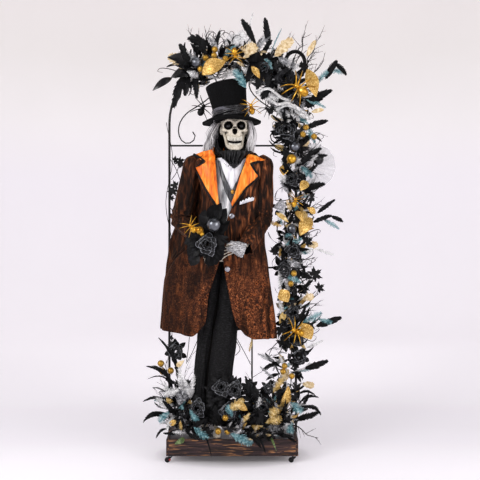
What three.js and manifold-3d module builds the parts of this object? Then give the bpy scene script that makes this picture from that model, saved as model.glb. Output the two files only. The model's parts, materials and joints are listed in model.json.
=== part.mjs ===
// A seasonal display: a dressed skeleton gentleman in a top hat, tied to an arch-top wire trellis that stands on
// a low wooden planter with four swivel casters, with a black and gold garland up one side and over the arch.
// Millimetres, +Z up, -Y is the front. "right" and "left" on the figure are the figure's own right and left.
import * as THREE from "three";
import { mergeVertices } from "three/addons/utils/BufferGeometryUtils.js";
import Module from "manifold-3d";

const wasm = await Module();
wasm.setup();

// ---- driving dimensions ----------------------------------------------------------------------------------------
const GAP = 0.4; // clearance between pieces that touch

const PLANTER = { width: 610, depth: 300, height: 76, board: 12, deckDrop: 5, deckThickness: 9 };
const CASTER = { height: 37, wheelR: 12.5, wheelW: 10, boreR: 2.6, axleR: 2, trail: 14, insetX: 17, insetY: 25 };
const TRELLIS = { tubeR: 6, barR: 4.5, rodR: 4, wireR: 3, rodX: 95, planeY: 60, springZ: 1610, footZ: 45 };
const CROSSBAR_Z = { bottom: 298, middle: 899, top: 1499 };
const STRAP = { thickness: 1.5, ear: 18, height: 30, z: 60 };

const LEAN = 0.08; // sideways lean of the body axis, mm per mm of height
const NECK = { x: 3, z: 1440 };
const TORSO_Y = -60; // centre of the rib cage, well in front of the trellis
const SHOULDER = { middleX: -20, spread: 166, y: -50, z: 1396 };
const HEAD = { x: 7, y: -50, eyeZ: 1570, crownZ: 1615 };
const JAW_PIVOT = { y: -50, z: 1546 };

const DECK_Z = CASTER.height + PLANTER.height - PLANTER.deckDrop;
const ARCH_R = PLANTER.width / 2 + GAP + TRELLIS.tubeR;
const leanX = (z) => NECK.x + (z - NECK.z) * LEAN;

// ---- materials -------------------------------------------------------------------------------------------------
const paint = (color, roughness, metalness = 0) => new THREE.MeshStandardMaterial({ color, roughness, metalness });
const MATERIAL = {
  stainedWood: paint(0x3a3132, 0.6),
  blackSteel: paint(0x1b1a1a, 0.5, 0.7),
  zincSteel: paint(0x77777a, 0.35, 0.9),
  blackRubber: paint(0x1a1a1b, 0.7),
  bone: paint(0xd9d2c4, 0.55),
  wool: paint(0x1b1a1c, 0.85),
  hair: paint(0xb4b0ae, 0.7),
  satin: paint(0x111113, 0.45),
  silverCloth: paint(0x8e9094, 0.4, 0.2),
  damask: paint(0x5a2d18, 0.7),
  blackCloth: paint(0x19191b, 0.85),
  petals: paint(0x1d1d20, 0.6),
};

// ---- solids ----------------------------------------------------------------------------------------------------
function solidOf(geometry) {
  const plain = geometry.index ? geometry.toNonIndexed() : geometry.clone();
  plain.deleteAttribute("normal");
  plain.deleteAttribute("uv");
  const merged = mergeVertices(plain, 1e-3);
  const mesh = new wasm.Mesh({
    numProp: 3,
    vertProperties: merged.attributes.position.array,
    triVerts: new Uint32Array(merged.index.array),
  });
  return new wasm.Manifold(mesh);
}

function geometryOf(solid) {
  const mesh = solid.getMesh();
  return new THREE.BufferGeometry()
    .setAttribute("position", new THREE.BufferAttribute(new Float32Array(mesh.vertProperties), 3))
    .setIndex(new THREE.BufferAttribute(new Uint32Array(mesh.triVerts), 1));
}

const union = (geometries) => geometryOf(geometries.map(solidOf).reduce((a, b) => a.add(b)));
const cut = (geometry, ...tools) => geometryOf(tools.map(solidOf).reduce((a, b) => a.subtract(b), solidOf(geometry)));
const vec = (x, y, z) => new THREE.Vector3(x, y, z);

const box = (x0, x1, y0, y1, z0, z1) =>
  new THREE.BoxGeometry(x1 - x0, y1 - y0, z1 - z0).translate((x0 + x1) / 2, (y0 + y1) / 2, (z0 + z1) / 2);

const ball = (centre, rx, ry, rz, across = 10, down = 6) =>
  new THREE.SphereGeometry(1, across, down).scale(rx, ry, rz).translate(...centre);

// Turns a geometry whose own axis is +Y so that it runs from one point towards another.
function along(geometry, from, to) {
  const turn = new THREE.Quaternion().setFromUnitVectors(vec(0, 1, 0), to.clone().sub(from).normalize());
  return geometry.applyQuaternion(turn).translate(from.x, from.y, from.z);
}

// A rod or cone between two points.
function rod(from, to, r0, r1 = r0, sides = 8) {
  const length = from.distanceTo(to);
  return along(new THREE.CylinderGeometry(r1, r0, length, sides).translate(0, length / 2, 0), from, to);
}

// A closed profile of [radius, height] pairs, turned about the line between two points.
function turned(profile, from, to, sides = 12) {
  const points = profile.map(([r, h]) => new THREE.Vector2(r, h));
  return along(new THREE.LatheGeometry(points, sides), from, to);
}

// A round tube along a smooth curve through the points.
function tube(points, radius, steps, sides = 8) {
  const ring = Array.from({ length: sides }, (_, i) => {
    const a = (i / sides) * 2 * Math.PI;
    return new THREE.Vector2(radius * Math.cos(a), radius * Math.sin(a));
  });
  const path = points.isCurve ? points : new THREE.CatmullRomCurve3(points);
  return new THREE.ExtrudeGeometry(new THREE.Shape(ring), { steps, extrudePath: path });
}

// A closed solid through rings of points that all have the same count, with a flat cap at each end.
function loft(levels) {
  const flat = levels[0].map((p) => new THREE.Vector2(p.x, p.y));
  const rings = THREE.ShapeUtils.isClockWise(flat) ? levels.map((ring) => [...ring].reverse()) : levels;
  const count = rings[0].length;
  const corners = rings.flat().flatMap((p) => [p.x, p.y, p.z]);
  const faces = [];
  for (let r = 0; r + 1 < rings.length; r += 1) {
    for (let i = 0; i < count; i += 1) {
      const j = (i + 1) % count;
      const [a, b, c, d] = [r * count + i, r * count + j, (r + 1) * count + j, (r + 1) * count + i];
      faces.push(a, b, c, a, c, d);
    }
  }
  const capOf = (ring) => THREE.ShapeUtils.triangulateShape(ring.map((p) => new THREE.Vector2(p.x, p.y)), []);
  const last = (rings.length - 1) * count;
  capOf(rings[0]).forEach(([a, b, c]) => faces.push(a, c, b));
  capOf(rings.at(-1)).forEach(([a, b, c]) => faces.push(last + a, last + b, last + c));
  return new THREE.BufferGeometry()
    .setAttribute("position", new THREE.Float32BufferAttribute(corners, 3))
    .setIndex(faces);
}

// One level of an open-fronted garment: a C-shaped wall. Angles are measured from the front, -Y, towards +X.
function openWall({ z, x, y, rx, ry, wall, fromDeg, toDeg, steps }) {
  const at = (t, inset) => {
    const a = THREE.MathUtils.degToRad(fromDeg + t * (toDeg - fromDeg));
    return vec(x + (rx - inset) * Math.sin(a), y - (ry - inset) * Math.cos(a), z);
  };
  const turns = Array.from({ length: steps + 1 }, (_, i) => i / steps);
  return [...turns.map((t) => at(t, 0)), ...turns.reverse().map((t) => at(t, wall))];
}

const openGarment = (levels) => loft(levels.map(openWall));

// A closed oval tube of cloth, open at both ends.
function ovalTube(levels, wall, sides) {
  const ringsOf = (inset, lift) =>
    levels.map(({ z, x, y, rx, ry }, level) =>
      Array.from({ length: sides }, (_, i) => {
        const a = (i / sides) * 2 * Math.PI;
        const end = level === 0 ? -lift : level === levels.length - 1 ? lift : 0;
        return vec(x + (rx - inset) * Math.cos(a), y + (ry - inset) * Math.sin(a), z + end);
      }),
    );
  return cut(loft(ringsOf(0, 0)), loft(ringsOf(wall, 1)));
}

// ---- the tree of meshes ----------------------------------------------------------------------------------------
const part = new THREE.Group();
const design = new THREE.Group(); // modelled with its origin on the floor under the planter's centre
part.add(design);

function add(name, geometry, material) {
  const mesh = new THREE.Mesh(geometry, material);
  mesh.name = name;
  design.add(mesh);
  return mesh;
}

// ---- planter ---------------------------------------------------------------------------------------------------
function buildPlanter() {
  const { width, depth, height, board, deckThickness } = PLANTER;
  const [x, y, z0, z1] = [width / 2, depth / 2, CASTER.height, CASTER.height + height];
  const inner = x - board - GAP;
  add("planter_front_board", box(-inner, inner, -y, -y + board, z0, z1), MATERIAL.stainedWood);
  add("planter_back_board", box(-inner, inner, y - board, y, z0, z1), MATERIAL.stainedWood);
  for (const [side, sign] of [["left", 1], ["right", -1]]) {
    const [a, b] = [sign * (x - board), sign * x].sort((p, q) => p - q);
    add(`planter_${side}_end_board`, box(a, b, -y, y, z0, z1), MATERIAL.stainedWood);
  }
  const innerY = y - board - GAP;
  add("planter_bottom_board", box(-inner, inner, -innerY, innerY, z0, z0 + board), MATERIAL.stainedWood);
  add("planter_deck", box(-inner, inner, -innerY, innerY, DECK_Z - deckThickness, DECK_Z), MATERIAL.stainedWood);
}

// ---- casters ---------------------------------------------------------------------------------------------------
function casterPlate() {
  const top = CASTER.height - GAP;
  const plate = box(-16, 16, -16, 16, top - 2, top);
  const race = turned([[0, 0], [11, 0], [11, 4], [0, 4]], vec(0, 0, top - 5.5), vec(0, 0, top), 10);
  return union([plate, race]);
}

function casterFork() {
  const { trail, axleR, wheelR, wheelW } = CASTER;
  const [crown, sideY] = [CASTER.height - 9.4, wheelW / 2 + 0.9];
  const cheek = new THREE.Shape();
  cheek.moveTo(9, crown);
  cheek.lineTo(-9, crown);
  cheek.lineTo(-trail - 5, wheelR + 1);
  cheek.absarc(-trail, wheelR, 5, Math.PI * 0.94, Math.PI * 1.75, false);
  const cheekAt = (y) =>
    new THREE.ExtrudeGeometry(cheek, { depth: 1.6, bevelEnabled: false, curveSegments: 4 })
      .rotateX(Math.PI / 2)
      .translate(0, y, 0);
  const top = turned([[0, 0], [10, 0], [10, 2.6], [0, 2.6]], vec(0, 0, crown - 1), vec(0, 0, crown + 9), 10);
  const bridge = box(-8, 8, -sideY - 1, sideY + 1, crown - 1.5, crown);
  const axle = rod(vec(-trail, -sideY - 2.6, wheelR), vec(-trail, sideY + 2.6, wheelR), axleR, axleR, 8);
  return union([cheekAt(-sideY), cheekAt(sideY + 1.6), top, bridge, axle]);
}

function casterWheel() {
  const { wheelR, wheelW, boreR, trail } = CASTER;
  const h = wheelW / 2;
  const side = [[boreR, -h], [6, -h], [wheelR - 1.5, -h + 1], [wheelR, -h + 2.5]];
  const otherSide = side.map(([r, y]) => [r, -y]).reverse();
  return turned([...side, ...otherSide, side[0]], vec(-trail, 0, wheelR), vec(-trail, 1, wheelR), 16);
}

function buildCasters() {
  const corners = [["front_right", -1, -1], ["front_left", 1, -1], ["back_right", -1, 1], ["back_left", 1, 1]];
  for (const [corner, sx, sy] of corners) {
    const x = sx * (PLANTER.width / 2 - CASTER.insetX);
    const y = sy * (PLANTER.depth / 2 - CASTER.insetY);
    const kit = [
      ["plate", casterPlate(), MATERIAL.zincSteel],
      ["fork", casterFork(), MATERIAL.zincSteel],
      ["wheel", casterWheel(), MATERIAL.blackRubber],
    ];
    for (const [piece, geometry, material] of kit) {
      add(`caster_${piece}_${corner}`, geometry, material).position.set(x, y, 0);
    }
  }
}

// ---- trellis ---------------------------------------------------------------------------------------------------
function scroll(side) {
  const outline = [
    [-197, 1568], [-184, 1542], [-200, 1518], [-226, 1510], [-254, 1528], [-267, 1570], [-256, 1620],
    [-222, 1662], [-172, 1694], [-120, 1732], [-84, 1782], [-84, 1830], [-112, 1856], [-142, 1842], [-148, 1812],
  ];
  return tube(outline.map(([x, z]) => vec(x * side, TRELLIS.planeY, z)), TRELLIS.wireR, 26, 4);
}

// A pipe strap: half a turn of steel band round a post, with a flat ear each side against the end board.
function postStrap(side) {
  const { thickness, ear, height, z } = STRAP;
  const [face, centre] = [PLANTER.width / 2 + GAP, ARCH_R];
  const [inner, outer] = [TRELLIS.tubeR + GAP, TRELLIS.tubeR + GAP + thickness];
  const outline = new THREE.Shape();
  outline.moveTo(face, -ear);
  outline.lineTo(face + thickness, -ear);
  outline.lineTo(face + thickness, -outer);
  outline.lineTo(centre, -outer);
  outline.absarc(centre, 0, outer, -Math.PI / 2, Math.PI / 2, false);
  outline.lineTo(face + thickness, outer);
  outline.lineTo(face + thickness, ear);
  outline.lineTo(face, ear);
  outline.lineTo(face, inner);
  outline.lineTo(centre, inner);
  outline.absarc(centre, 0, inner, Math.PI / 2, -Math.PI / 2, true);
  outline.lineTo(face, -inner);
  const band = new THREE.ExtrudeGeometry(outline, { depth: height, bevelEnabled: false, curveSegments: 6 });
  if (side < 0) band.rotateZ(Math.PI);
  return band.translate(0, TRELLIS.planeY, z);
}

function buildTrellis() {
  const { tubeR, barR, rodR, rodX, planeY, springZ, footZ } = TRELLIS;
  for (const [side, sign] of [["left", 1], ["right", -1]]) {
    const [foot, top] = [vec(sign * ARCH_R, planeY, footZ), vec(sign * ARCH_R, planeY, springZ - GAP / 2)];
    add(`trellis_post_${side}`, rod(foot, top, tubeR, tubeR, 8), MATERIAL.blackSteel);
    const rodY = planeY - barR - rodR - GAP;
    const [low, high] = [vec(sign * rodX, rodY, DECK_Z + 12), vec(sign * rodX, rodY, CROSSBAR_Z.top + 12)];
    add(`trellis_rod_${side}`, rod(low, high, rodR, rodR, 8), MATERIAL.blackSteel);
    add(`trellis_scroll_${side}`, scroll(sign < 0 ? 1 : -1), MATERIAL.blackSteel);
    add(`trellis_strap_${side}`, postStrap(sign), MATERIAL.zincSteel);
  }
  for (const [level, z] of Object.entries(CROSSBAR_Z)) {
    const reach = ARCH_R - tubeR - GAP;
    add(`trellis_crossbar_${level}`, rod(vec(-reach, planeY, z), vec(reach, planeY, z), barR), MATERIAL.blackSteel);
  }
  const arch = Array.from({ length: 25 }, (_, i) => {
    const a = (i / 24) * Math.PI;
    return vec(-ARCH_R * Math.cos(a), planeY, springZ + GAP / 2 + ARCH_R * Math.sin(a));
  });
  add("trellis_arch", tube(arch, tubeR, 24), MATERIAL.blackSteel);
}

// ---- skeleton --------------------------------------------------------------------------------------------------
function ribcage() {
  const rings = [[1376, 52], [1330, 66], [1272, 70], [1214, 68]].map(([z, r]) =>
    new THREE.TorusGeometry(r, 6, 4, 12).scale(1, 0.68, 1).translate(leanX(z), TORSO_Y, z));
  const spine = tube([vec(leanX(1018), TORSO_Y + 56, 1018), vec(leanX(1110), TORSO_Y + 50, 1110),
    vec(leanX(1250), TORSO_Y + 62, 1250), vec(leanX(1376), TORSO_Y + 30, 1376), vec(HEAD.x, HEAD.y + 8, 1515)], 11, 8, 6);
  const breast = rod(vec(leanX(1245), TORSO_Y - 60, 1245), vec(leanX(1376), TORSO_Y - 40, 1380), 9, 11, 6);
  const clavicleZ = SHOULDER.z - 14;
  const reach = SHOULDER.spread - 26;
  const collar = rod(vec(SHOULDER.middleX - reach, SHOULDER.y, clavicleZ),
    vec(SHOULDER.middleX + reach, SHOULDER.y, clavicleZ), 9, 9, 8);
  return union([spine, ...rings, breast, collar]);
}

function pelvis() {
  const z = 950;
  const ring = new THREE.TorusGeometry(58, 12, 5, 12).scale(1.15, 0.62, 1.5).translate(leanX(z), TORSO_Y, z);
  const sacrum = rod(vec(leanX(z), TORSO_Y + 36, z - 16), vec(leanX(990), TORSO_Y + 36, 990), 14, 14, 6);
  return union([ring, sacrum]);
}

// A long bone with a knob at each end.
function longBone(from, to, shaft, knob) {
  const length = from.distanceTo(to);
  const profile = [[0, 0], [knob * 0.8, 2], [knob, knob * 0.8], [shaft, knob * 2], [shaft, length - knob * 2],
    [knob, length - knob * 0.8], [knob * 0.8, length - 2], [0, length]];
  return turned(profile, from, to, 8);
}

function hand(wrist, knuckles, fingertips, spread) {
  const across = spread.clone().normalize();
  const offset = (p, k) => p.clone().addScaledVector(across, k);
  const palm = [-1, 0, 1].map((k) => rod(offset(wrist, k * 7), offset(knuckles, k * 12), 8, 8, 5));
  const roots = knuckles.clone().lerp(wrist, 0.2);
  const fingers = [-1.5, -0.5, 0.5, 1.5].map((k) => rod(offset(roots, k * 9), offset(fingertips, k * 13), 5, 3.5, 5));
  const thumb = rod(offset(wrist, 12), offset(knuckles.clone().lerp(wrist, 0.3), 34), 5, 4, 6);
  return union([...palm, ...fingers, thumb]);
}

function skull() {
  const { x, y, crownZ } = HEAD;
  const cranium = ball([x, y + 2, crownZ], 68, 84, 68, 14, 8);
  const levels = [[1488, 25, -80, -132], [1512, 32, -72, -130], [1530, 46, -66, -126], [1552, 63, -58, -120],
    [1580, 60, -50, -126], [1612, 56, -50, -124]];
  const face = loft(levels.map(([z, half, back, front]) => {
    const side = half * 0.62;
    return [[-half, back], [half, back], [half, (back + front) / 2], [side, front + 8], [0, front],
      [-side, front + 8], [-half, (back + front) / 2]].map(([dx, py]) => vec(x + dx, py, z));
  }));
  const socket = (dx) => ball([x + dx, y - 78, 1571], 21, 26, 20, 8, 6);
  const nose = rod(vec(x, y - 88, 1556), vec(x, y - 86, 1522), 4, 14, 6);
  const whole = union([cranium, face]);
  const neckHole = rod(vec(x, y + 8, 1500), vec(x, y + 8, 1575), 22, 22, 10);
  return cut(whole, socket(-33), socket(33), nose, neckHole);
}

function jaw() {
  const { x } = HEAD;
  const [reach, back, front, wall] = [45, -74, -126, 12];
  const plan = new THREE.Shape();
  plan.moveTo(-reach, back);
  plan.quadraticCurveTo(-reach + 6, front, 0, front - 4);
  plan.quadraticCurveTo(reach - 6, front, reach, back);
  plan.lineTo(reach - wall, back);
  plan.quadraticCurveTo(reach - wall - 6, front + wall, 0, front + wall);
  plan.quadraticCurveTo(-reach + wall + 6, front + wall, -reach + wall, back);
  const body = new THREE.ExtrudeGeometry(plan, { depth: 34, bevelEnabled: false, curveSegments: 5 }).translate(x, 0, 1448);
  const ramus = (side) =>
    rod(vec(x + side * (reach - 6), back + 4, 1462), vec(x + side * 56, JAW_PIVOT.y, JAW_PIVOT.z), 9, 6, 6);
  const chin = ball([x, front + 6, 1458], 26, 12, 12, 10, 6);
  const flush = box(x - 80, x + 80, -200, 0, 1400, 1447.8);
  return cut(union([body, chin, ramus(-1), ramus(1)]), flush);
}

// Places on the arms: shoulder, elbow and wrist of each side.
const ARM = {
  right: {
    shoulder: vec(SHOULDER.middleX - SHOULDER.spread, SHOULDER.y, SHOULDER.z),
    elbow: vec(-244, -62, 1122),
    wrist: vec(-122, -196, 1024),
  },
  left: {
    shoulder: vec(SHOULDER.middleX + SHOULDER.spread, SHOULDER.y, SHOULDER.z),
    elbow: vec(143, -62, 1126),
    wrist: vec(62, -200, 1004),
  },
};

function buildArm(side) {
  const { shoulder, elbow, wrist } = ARM[side];
  const inward = side === "left" ? -1 : 1;
  const upperDirection = elbow.clone().sub(shoulder).normalize();
  const foreDirection = wrist.clone().sub(elbow).normalize();
  const step = (from, direction, distance) => from.clone().addScaledVector(direction, distance);

  const humerus = union([
    ball(shoulder.toArray(), 20, 20, 20, 10, 8),
    longBone(step(shoulder, upperDirection, 6), step(elbow, upperDirection, -16), 9, 13),
  ]);
  add(`upper_arm_bone_${side}`, humerus, MATERIAL.bone);
  const forearm = union([
    ball(elbow.toArray(), 13, 13, 13, 10, 8),
    rod(step(elbow, foreDirection, 4), step(wrist, foreDirection, -8), 9, 8, 8),
  ]);
  add(`forearm_bone_${side}`, forearm, MATERIAL.bone);

  // Sleeves are thin shells with a rounded head about each joint, so a turn about the joint leaves the head in place.
  const shell = (from, to, r0, r1, wall, openings) => {
    const length = from.distanceTo(to);
    const dome = (r) => [[0, -r], [r * 0.5, -r * 0.87], [r * 0.87, -r * 0.5], [r, 0]];
    const outer = turned([...dome(r0), [r1, length], [0, length]], from, to, 10);
    const inner = turned([...dome(r0 - wall), [r1 - wall, length + 2], [0, length + 2]], from, to, 10);
    return cut(outer, inner, ...openings);
  };
  const armhole = rod(shoulder, shoulder.clone().add(vec(inward * 70, 0, 0)), 30, 30, 12);
  const upper = shell(shoulder, step(elbow, upperDirection, -36), 48, 44, 5, [armhole]);
  add(`coat_upper_sleeve_${side}`, upper, MATERIAL.damask);
  const bend = rod(step(elbow, upperDirection, 2), step(elbow, upperDirection, -60), 22, 30, 12);
  add(`coat_forearm_sleeve_${side}`, shell(elbow, wrist, 38, 33, 5, [bend]), MATERIAL.damask);
}

function buildHands() {
  const right = ARM.right.wrist;
  add("hand_right", hand(vec(right.x + 2, right.y - 3, right.z - 2), vec(right.x + 14, right.y - 2, right.z - 52),
    vec(right.x + 30, right.y - 4, right.z - 88), vec(1, 0.2, 0.2)), MATERIAL.bone);
  const left = ARM.left.wrist;
  add("hand_left", hand(vec(left.x - 12, left.y - 13, left.z - 7), vec(left.x - 56, left.y - 18, left.z - 14),
    vec(left.x - 94, left.y - 14, left.z - 34), vec(-0.2, 0.1, 1)), MATERIAL.bone);
}

function buildSkeleton() {
  add("skull", skull(), MATERIAL.bone);
  add("jaw", jaw(), MATERIAL.bone);
  add("ribcage_and_spine", ribcage(), MATERIAL.bone);
  add("pelvis", pelvis(), MATERIAL.bone);
  for (const [side, sign] of [["right", -1], ["left", 1]]) {
    const hip = vec(leanX(905) + sign * 44, TORSO_Y, 896);
    const knee = vec(leanX(530) - 12 + sign * 36, TORSO_Y + 4, 530);
    const ankle = vec(leanX(160) - 4 + sign * 28, TORSO_Y + 14, 160);
    add(`thigh_bone_${side}`, longBone(hip, vec(knee.x, knee.y, knee.z + 3), 11, 17), MATERIAL.bone);
    const sole = loft([[-8, 32, -92, 28], [0, 34, -96, 30], [22, 26, -60, 26]].map(([dz, wide, front, back]) =>
      [[-wide / 2, back], [-wide / 2, front + 12], [0, front], [wide / 2, front + 12], [wide / 2, back]]
        .map(([dx, dy]) => vec(ankle.x + sign * 4 + dx, ankle.y + dy, 124 + dz))));
    const shin = longBone(ankle.clone().setZ(132), vec(knee.x, knee.y, knee.z - 3), 10, 15);
    add(`shin_and_foot_bone_${side}`, union([shin, sole]), MATERIAL.bone);
  }
}

// ---- clothes ---------------------------------------------------------------------------------------------------
// The hat is oval in plan, longer from front to back, and leans a little to the wearer's right.
function topHat() {
  const profile = [[0, 78], [80, 78], [78, 26], [84, 10], [136, -4], [139, 2], [88, 20], [84, 26], [82, 60],
    [97, 160], [93, 166], [0, 168]];
  const points = profile.map(([r, h]) => new THREE.Vector2(r, h));
  return new THREE.LatheGeometry(points, 16)
    .rotateX(Math.PI / 2)
    .scale(1, 1.12, 1)
    .rotateY(-THREE.MathUtils.degToRad(7))
    .translate(HEAD.x - 9, HEAD.y + 2, 1612);
}

function wig() {
  const level = (z, rx, ry, spread) => ({ z, x: HEAD.x, y: HEAD.y + 2, rx, ry, wall: 14, fromDeg: spread,
    toDeg: 360 - spread, steps: 16 });
  return openGarment([level(1458, 112, 96, 78), level(1500, 108, 98, 70), level(1560, 100, 98, 66),
    level(1596, 98, 100, 70)]);
}

function coatBody() {
  // Each level: height, the sides, half depth, and the left and right edges of the front opening.
  const levels = [
    [596, -325, 198, 96, -146, 18], [700, -308, 184, 95, -142, -14], [800, -276, 172, 94, -128, -36],
    [900, -236, 158, 90, -92, -56], [953, -212, 140, 86, -60, -50], [1010, -184, 106, 82, -46, -38],
    [1060, -162, 90, 80, -38, -30], [1120, -146, 86, 84, -30, -22], [1188, -138, 88, 88, -66, -8],
    [1300, -136, 90, 88, -74, 32], [1400, -124, 90, 80, -76, 68], [1440, -104, 92, 66, -72, 70],
  ];
  return openGarment(levels.map(([z, left, right, ry, openLeft, openRight]) => {
    const [x, rx] = [(left + right) / 2, (right - left) / 2];
    const angleOf = (edge) => THREE.MathUtils.radToDeg(Math.asin((edge - x) / rx));
    return { z, x, y: TORSO_Y + 2, rx, ry, wall: 5, fromDeg: angleOf(openRight), toDeg: 360 + angleOf(openLeft), steps: 12 };
  }));
}

function buildClothes() {
  add("top_hat", topHat(), MATERIAL.wool);
  add("wig", wig(), MATERIAL.hair);
  const [low, high] = [vec(NECK.x + 1, TORSO_Y + 10, 1396), vec(NECK.x + 1, TORSO_Y + 10, 1436)];
  add("cravat", turned([[37, 0], [48, 0], [60, 14], [52, 34], [38, 40], [37, 0]], low, high, 14), MATERIAL.satin);
  const armholes = ["right", "left"].map((side) => {
    const { shoulder } = ARM[side];
    const inward = side === "left" ? -1 : 1;
    return rod(shoulder.clone().add(vec(-inward * 60, 0, 0)), shoulder.clone().add(vec(inward * 80, 0, 0)), 34, 34, 12);
  });
  add("coat_body", cut(coatBody(), ...armholes), MATERIAL.damask);
  const vestLevel = (z, rx, ry) => ({ z, x: leanX(z) + 2, y: TORSO_Y, rx, ry, wall: 4, fromDeg: -80, toDeg: 80, steps: 10 });
  const vest = [[1090, 76, 68], [1150, 78, 72], [1256, 82, 76], [1350, 80, 72], [1392, 74, 62]];
  add("vest", openGarment(vest.map((level) => vestLevel(...level))), MATERIAL.silverCloth);
  const legs = [[170, -96, 58, 48], [300, -92, 66, 52], [440, -84, 76, 56], [596, -74, 84, 60], [760, -56, 92, 64],
    [900, -42, 98, 66], [1000, -34, 92, 62]].map(([z, x, rx, ry]) => ({ z, x, y: TORSO_Y + 2, rx, ry }));
  add("trousers", ovalTube(legs, 5, 14), MATERIAL.blackCloth);
}

// ---- flowers ---------------------------------------------------------------------------------------------------
// A flower cluster: a wired core with blossom heads on it and feathers, leaves and twigs that stick out of it.
function cluster(core, heads, sprays) {
  const blossoms = heads.map(([x, y, z, r]) => ball([x, y, z], r, r * 0.85, r, 6, 4));
  const blades = sprays.map(([x, y, z, tx, ty, tz, r]) => rod(vec(x, y, z), vec(tx, ty, tz), r, 1.5, 4));
  return union([core, ...blossoms, ...blades]);
}

function buildFlowers() {
  const sidePath = [vec(262, 0, 262), vec(262, 0, 500), vec(276, 0, 760), vec(264, 0, 1000), vec(288, 0, 1250),
    vec(296, 0, 1420), vec(294, 0, 1560)];
  const side = cluster(tube(sidePath, 34, 10, 6), [
    [250, -24, 410, 56], [292, -20, 520, 54], [274, -26, 890, 60], [262, -20, 1120, 48], [296, -26, 1280, 54],
    [280, -30, 1480, 58],
  ], [
    [270, 0, 640, 470, -20, 690, 7], [280, 0, 1150, 500, -10, 1190, 7], [290, 0, 1380, 452, 0, 1340, 9],
    [270, 0, 760, 420, -10, 880, 6], [270, 0, 900, 430, 10, 1010, 6], [262, 0, 320, 380, -40, 300, 8],
  ]);
  add("garland_side", side, MATERIAL.petals);

  const archAt = (deg, y = 0, r = ARCH_R) => {
    const a = THREE.MathUtils.degToRad(deg);
    return vec(r * Math.cos(a), y, TRELLIS.springZ + r * Math.sin(a));
  };
  const topPath = Array.from({ length: 9 }, (_, i) => archAt(2 + (i / 8) * 140));
  const onArch = (deg, y, r, size) => [...archAt(deg, y, r).toArray(), size];
  const spray = (deg, x, y, z, r) => [...archAt(deg).toArray(), x, y, z, r];
  const top = cluster(tube(topPath, 34, 10, 6), [
    onArch(8, -28, 300, 52), onArch(34, -30, 300, 62), onArch(64, -34, 304, 66), onArch(94, -30, 320, 50),
    onArch(118, -28, 320, 48), onArch(138, -26, 316, 44),
  ], [
    spray(24, 532, -20, 1850, 6), spray(30, 430, 0, 1880, 6), spray(46, 330, 0, 2010, 7), spray(60, 250, 0, 2050, 7),
    spray(76, 98, 0, 2130, 7), spray(84, 20, -10, 2080, 8), spray(100, -110, 0, 2030, 6),
    spray(120, -260, -10, 1990, 7), spray(136, -330, -20, 1900, 8), spray(140, -380, -20, 1742, 9),
    spray(8, 440, 0, 1560, 8), spray(14, 420, -20, 1700, 7),
  ]);
  add("garland_top", top, MATERIAL.petals);

  const bed = (x0, x1, topZ) => box(x0, x1, -132, 34, DECK_Z + GAP, topZ);
  const stems = (heads) => heads.map(([x, y, z]) => [x, y, z, x, y, 150, 6]);
  const rightHeads = [
    [-236, -90, 190, 52], [-250, -40, 240, 44], [-210, -70, 236, 40], [-252, -10, 330, 40],
  ];
  const rightSide = cluster(bed(-286, -166, 175), rightHeads, [
    ...stems(rightHeads),
    [-250, -60, 170, -410, -110, 196, 9], [-250, -60, 200, -404, -90, 300, 8], [-250, -40, 220, -392, -70, 396, 8],
    [-240, -80, 170, -330, -200, 150, 8], [-230, -100, 170, -214, -226, 134, 8], [-256, -20, 260, -300, -40, 452, 6],
    [-220, -60, 200, -206, -60, 400, 7],
  ]);
  add("base_flowers_right", rightSide, MATERIAL.petals);
  const leftHeads = [
    [30, -90, 210, 52], [60, -40, 284, 44], [120, -96, 190, 50], [150, -40, 300, 44], [216, -90, 200, 52],
    [238, -30, 176, 48], [196, -60, 280, 40],
  ];
  const leftSide = cluster(bed(-18, 286, 170), leftHeads, [
    ...stems(leftHeads),
    [240, -60, 170, 430, -90, 190, 8], [240, -50, 200, 436, -90, 300, 8], [240, -40, 200, 400, -60, 90, 6],
    [200, -100, 170, 230, -236, 110, 8], [100, -100, 170, 96, -240, 110, 8], [30, -100, 170, 0, -236, 120, 8],
    [100, -40, 160, 110, -40, 420, 6], [170, -30, 160, 186, -30, 400, 6],
  ]);
  add("base_flowers_left", leftSide, MATERIAL.petals);

  const { wrist } = ARM.right;
  const centre = vec(wrist.x - 10, wrist.y - 66, wrist.z + 10);
  const bouquet = cluster(ball(centre.toArray(), 66, 34, 76, 10, 6), [
    [centre.x + 8, centre.y - 22, centre.z - 34, 40], [centre.x + 26, centre.y - 14, centre.z + 36, 30],
  ], [
    [centre.x - 20, centre.y - 10, centre.z + 20, centre.x - 88, centre.y - 24, centre.z + 30, 7],
    [centre.x, centre.y, centre.z - 50, centre.x + 30, centre.y - 6, centre.z - 128, 9],
    [centre.x + 20, centre.y, centre.z + 40, centre.x + 38, centre.y + 8, centre.z + 118, 12],
  ]);
  add("bouquet", bouquet, MATERIAL.petals);
}

buildPlanter();
buildCasters();
buildTrellis();
buildSkeleton();
buildArm("right");
buildArm("left");
buildHands();
buildClothes();
buildFlowers();

// The part's own origin is the middle of its footprint, on the floor.
const bounds = new THREE.Box3().setFromObject(design, true);
const middle = bounds.getCenter(new THREE.Vector3());
design.position.set(-Math.round(middle.x), -Math.round(middle.y), 0);

export default part;
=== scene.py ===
"""Looks of a seasonal display: a dressed skeleton tied to an arch-top trellis on a wheeled planter.

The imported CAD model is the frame. The boards, casters, trellis and hidden bones are the CAD nodes with
finishes of their own; the clothes, skull, hair, hands and flowers are built here. Shapes are in
millimetres in the display's own frame until they become pieces: X to the right as the display is seen,
Y away from the viewer, Z up from the floor, 0, 0 at the middle of the planter. "Right" and "left" in
names are the figure's own sides.
"""
import json
import math

import bpy
import numpy as np
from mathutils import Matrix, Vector
from mathutils.bvhtree import BVHTree
from mathutils.geometry import delaunay_2d_cdt

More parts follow.
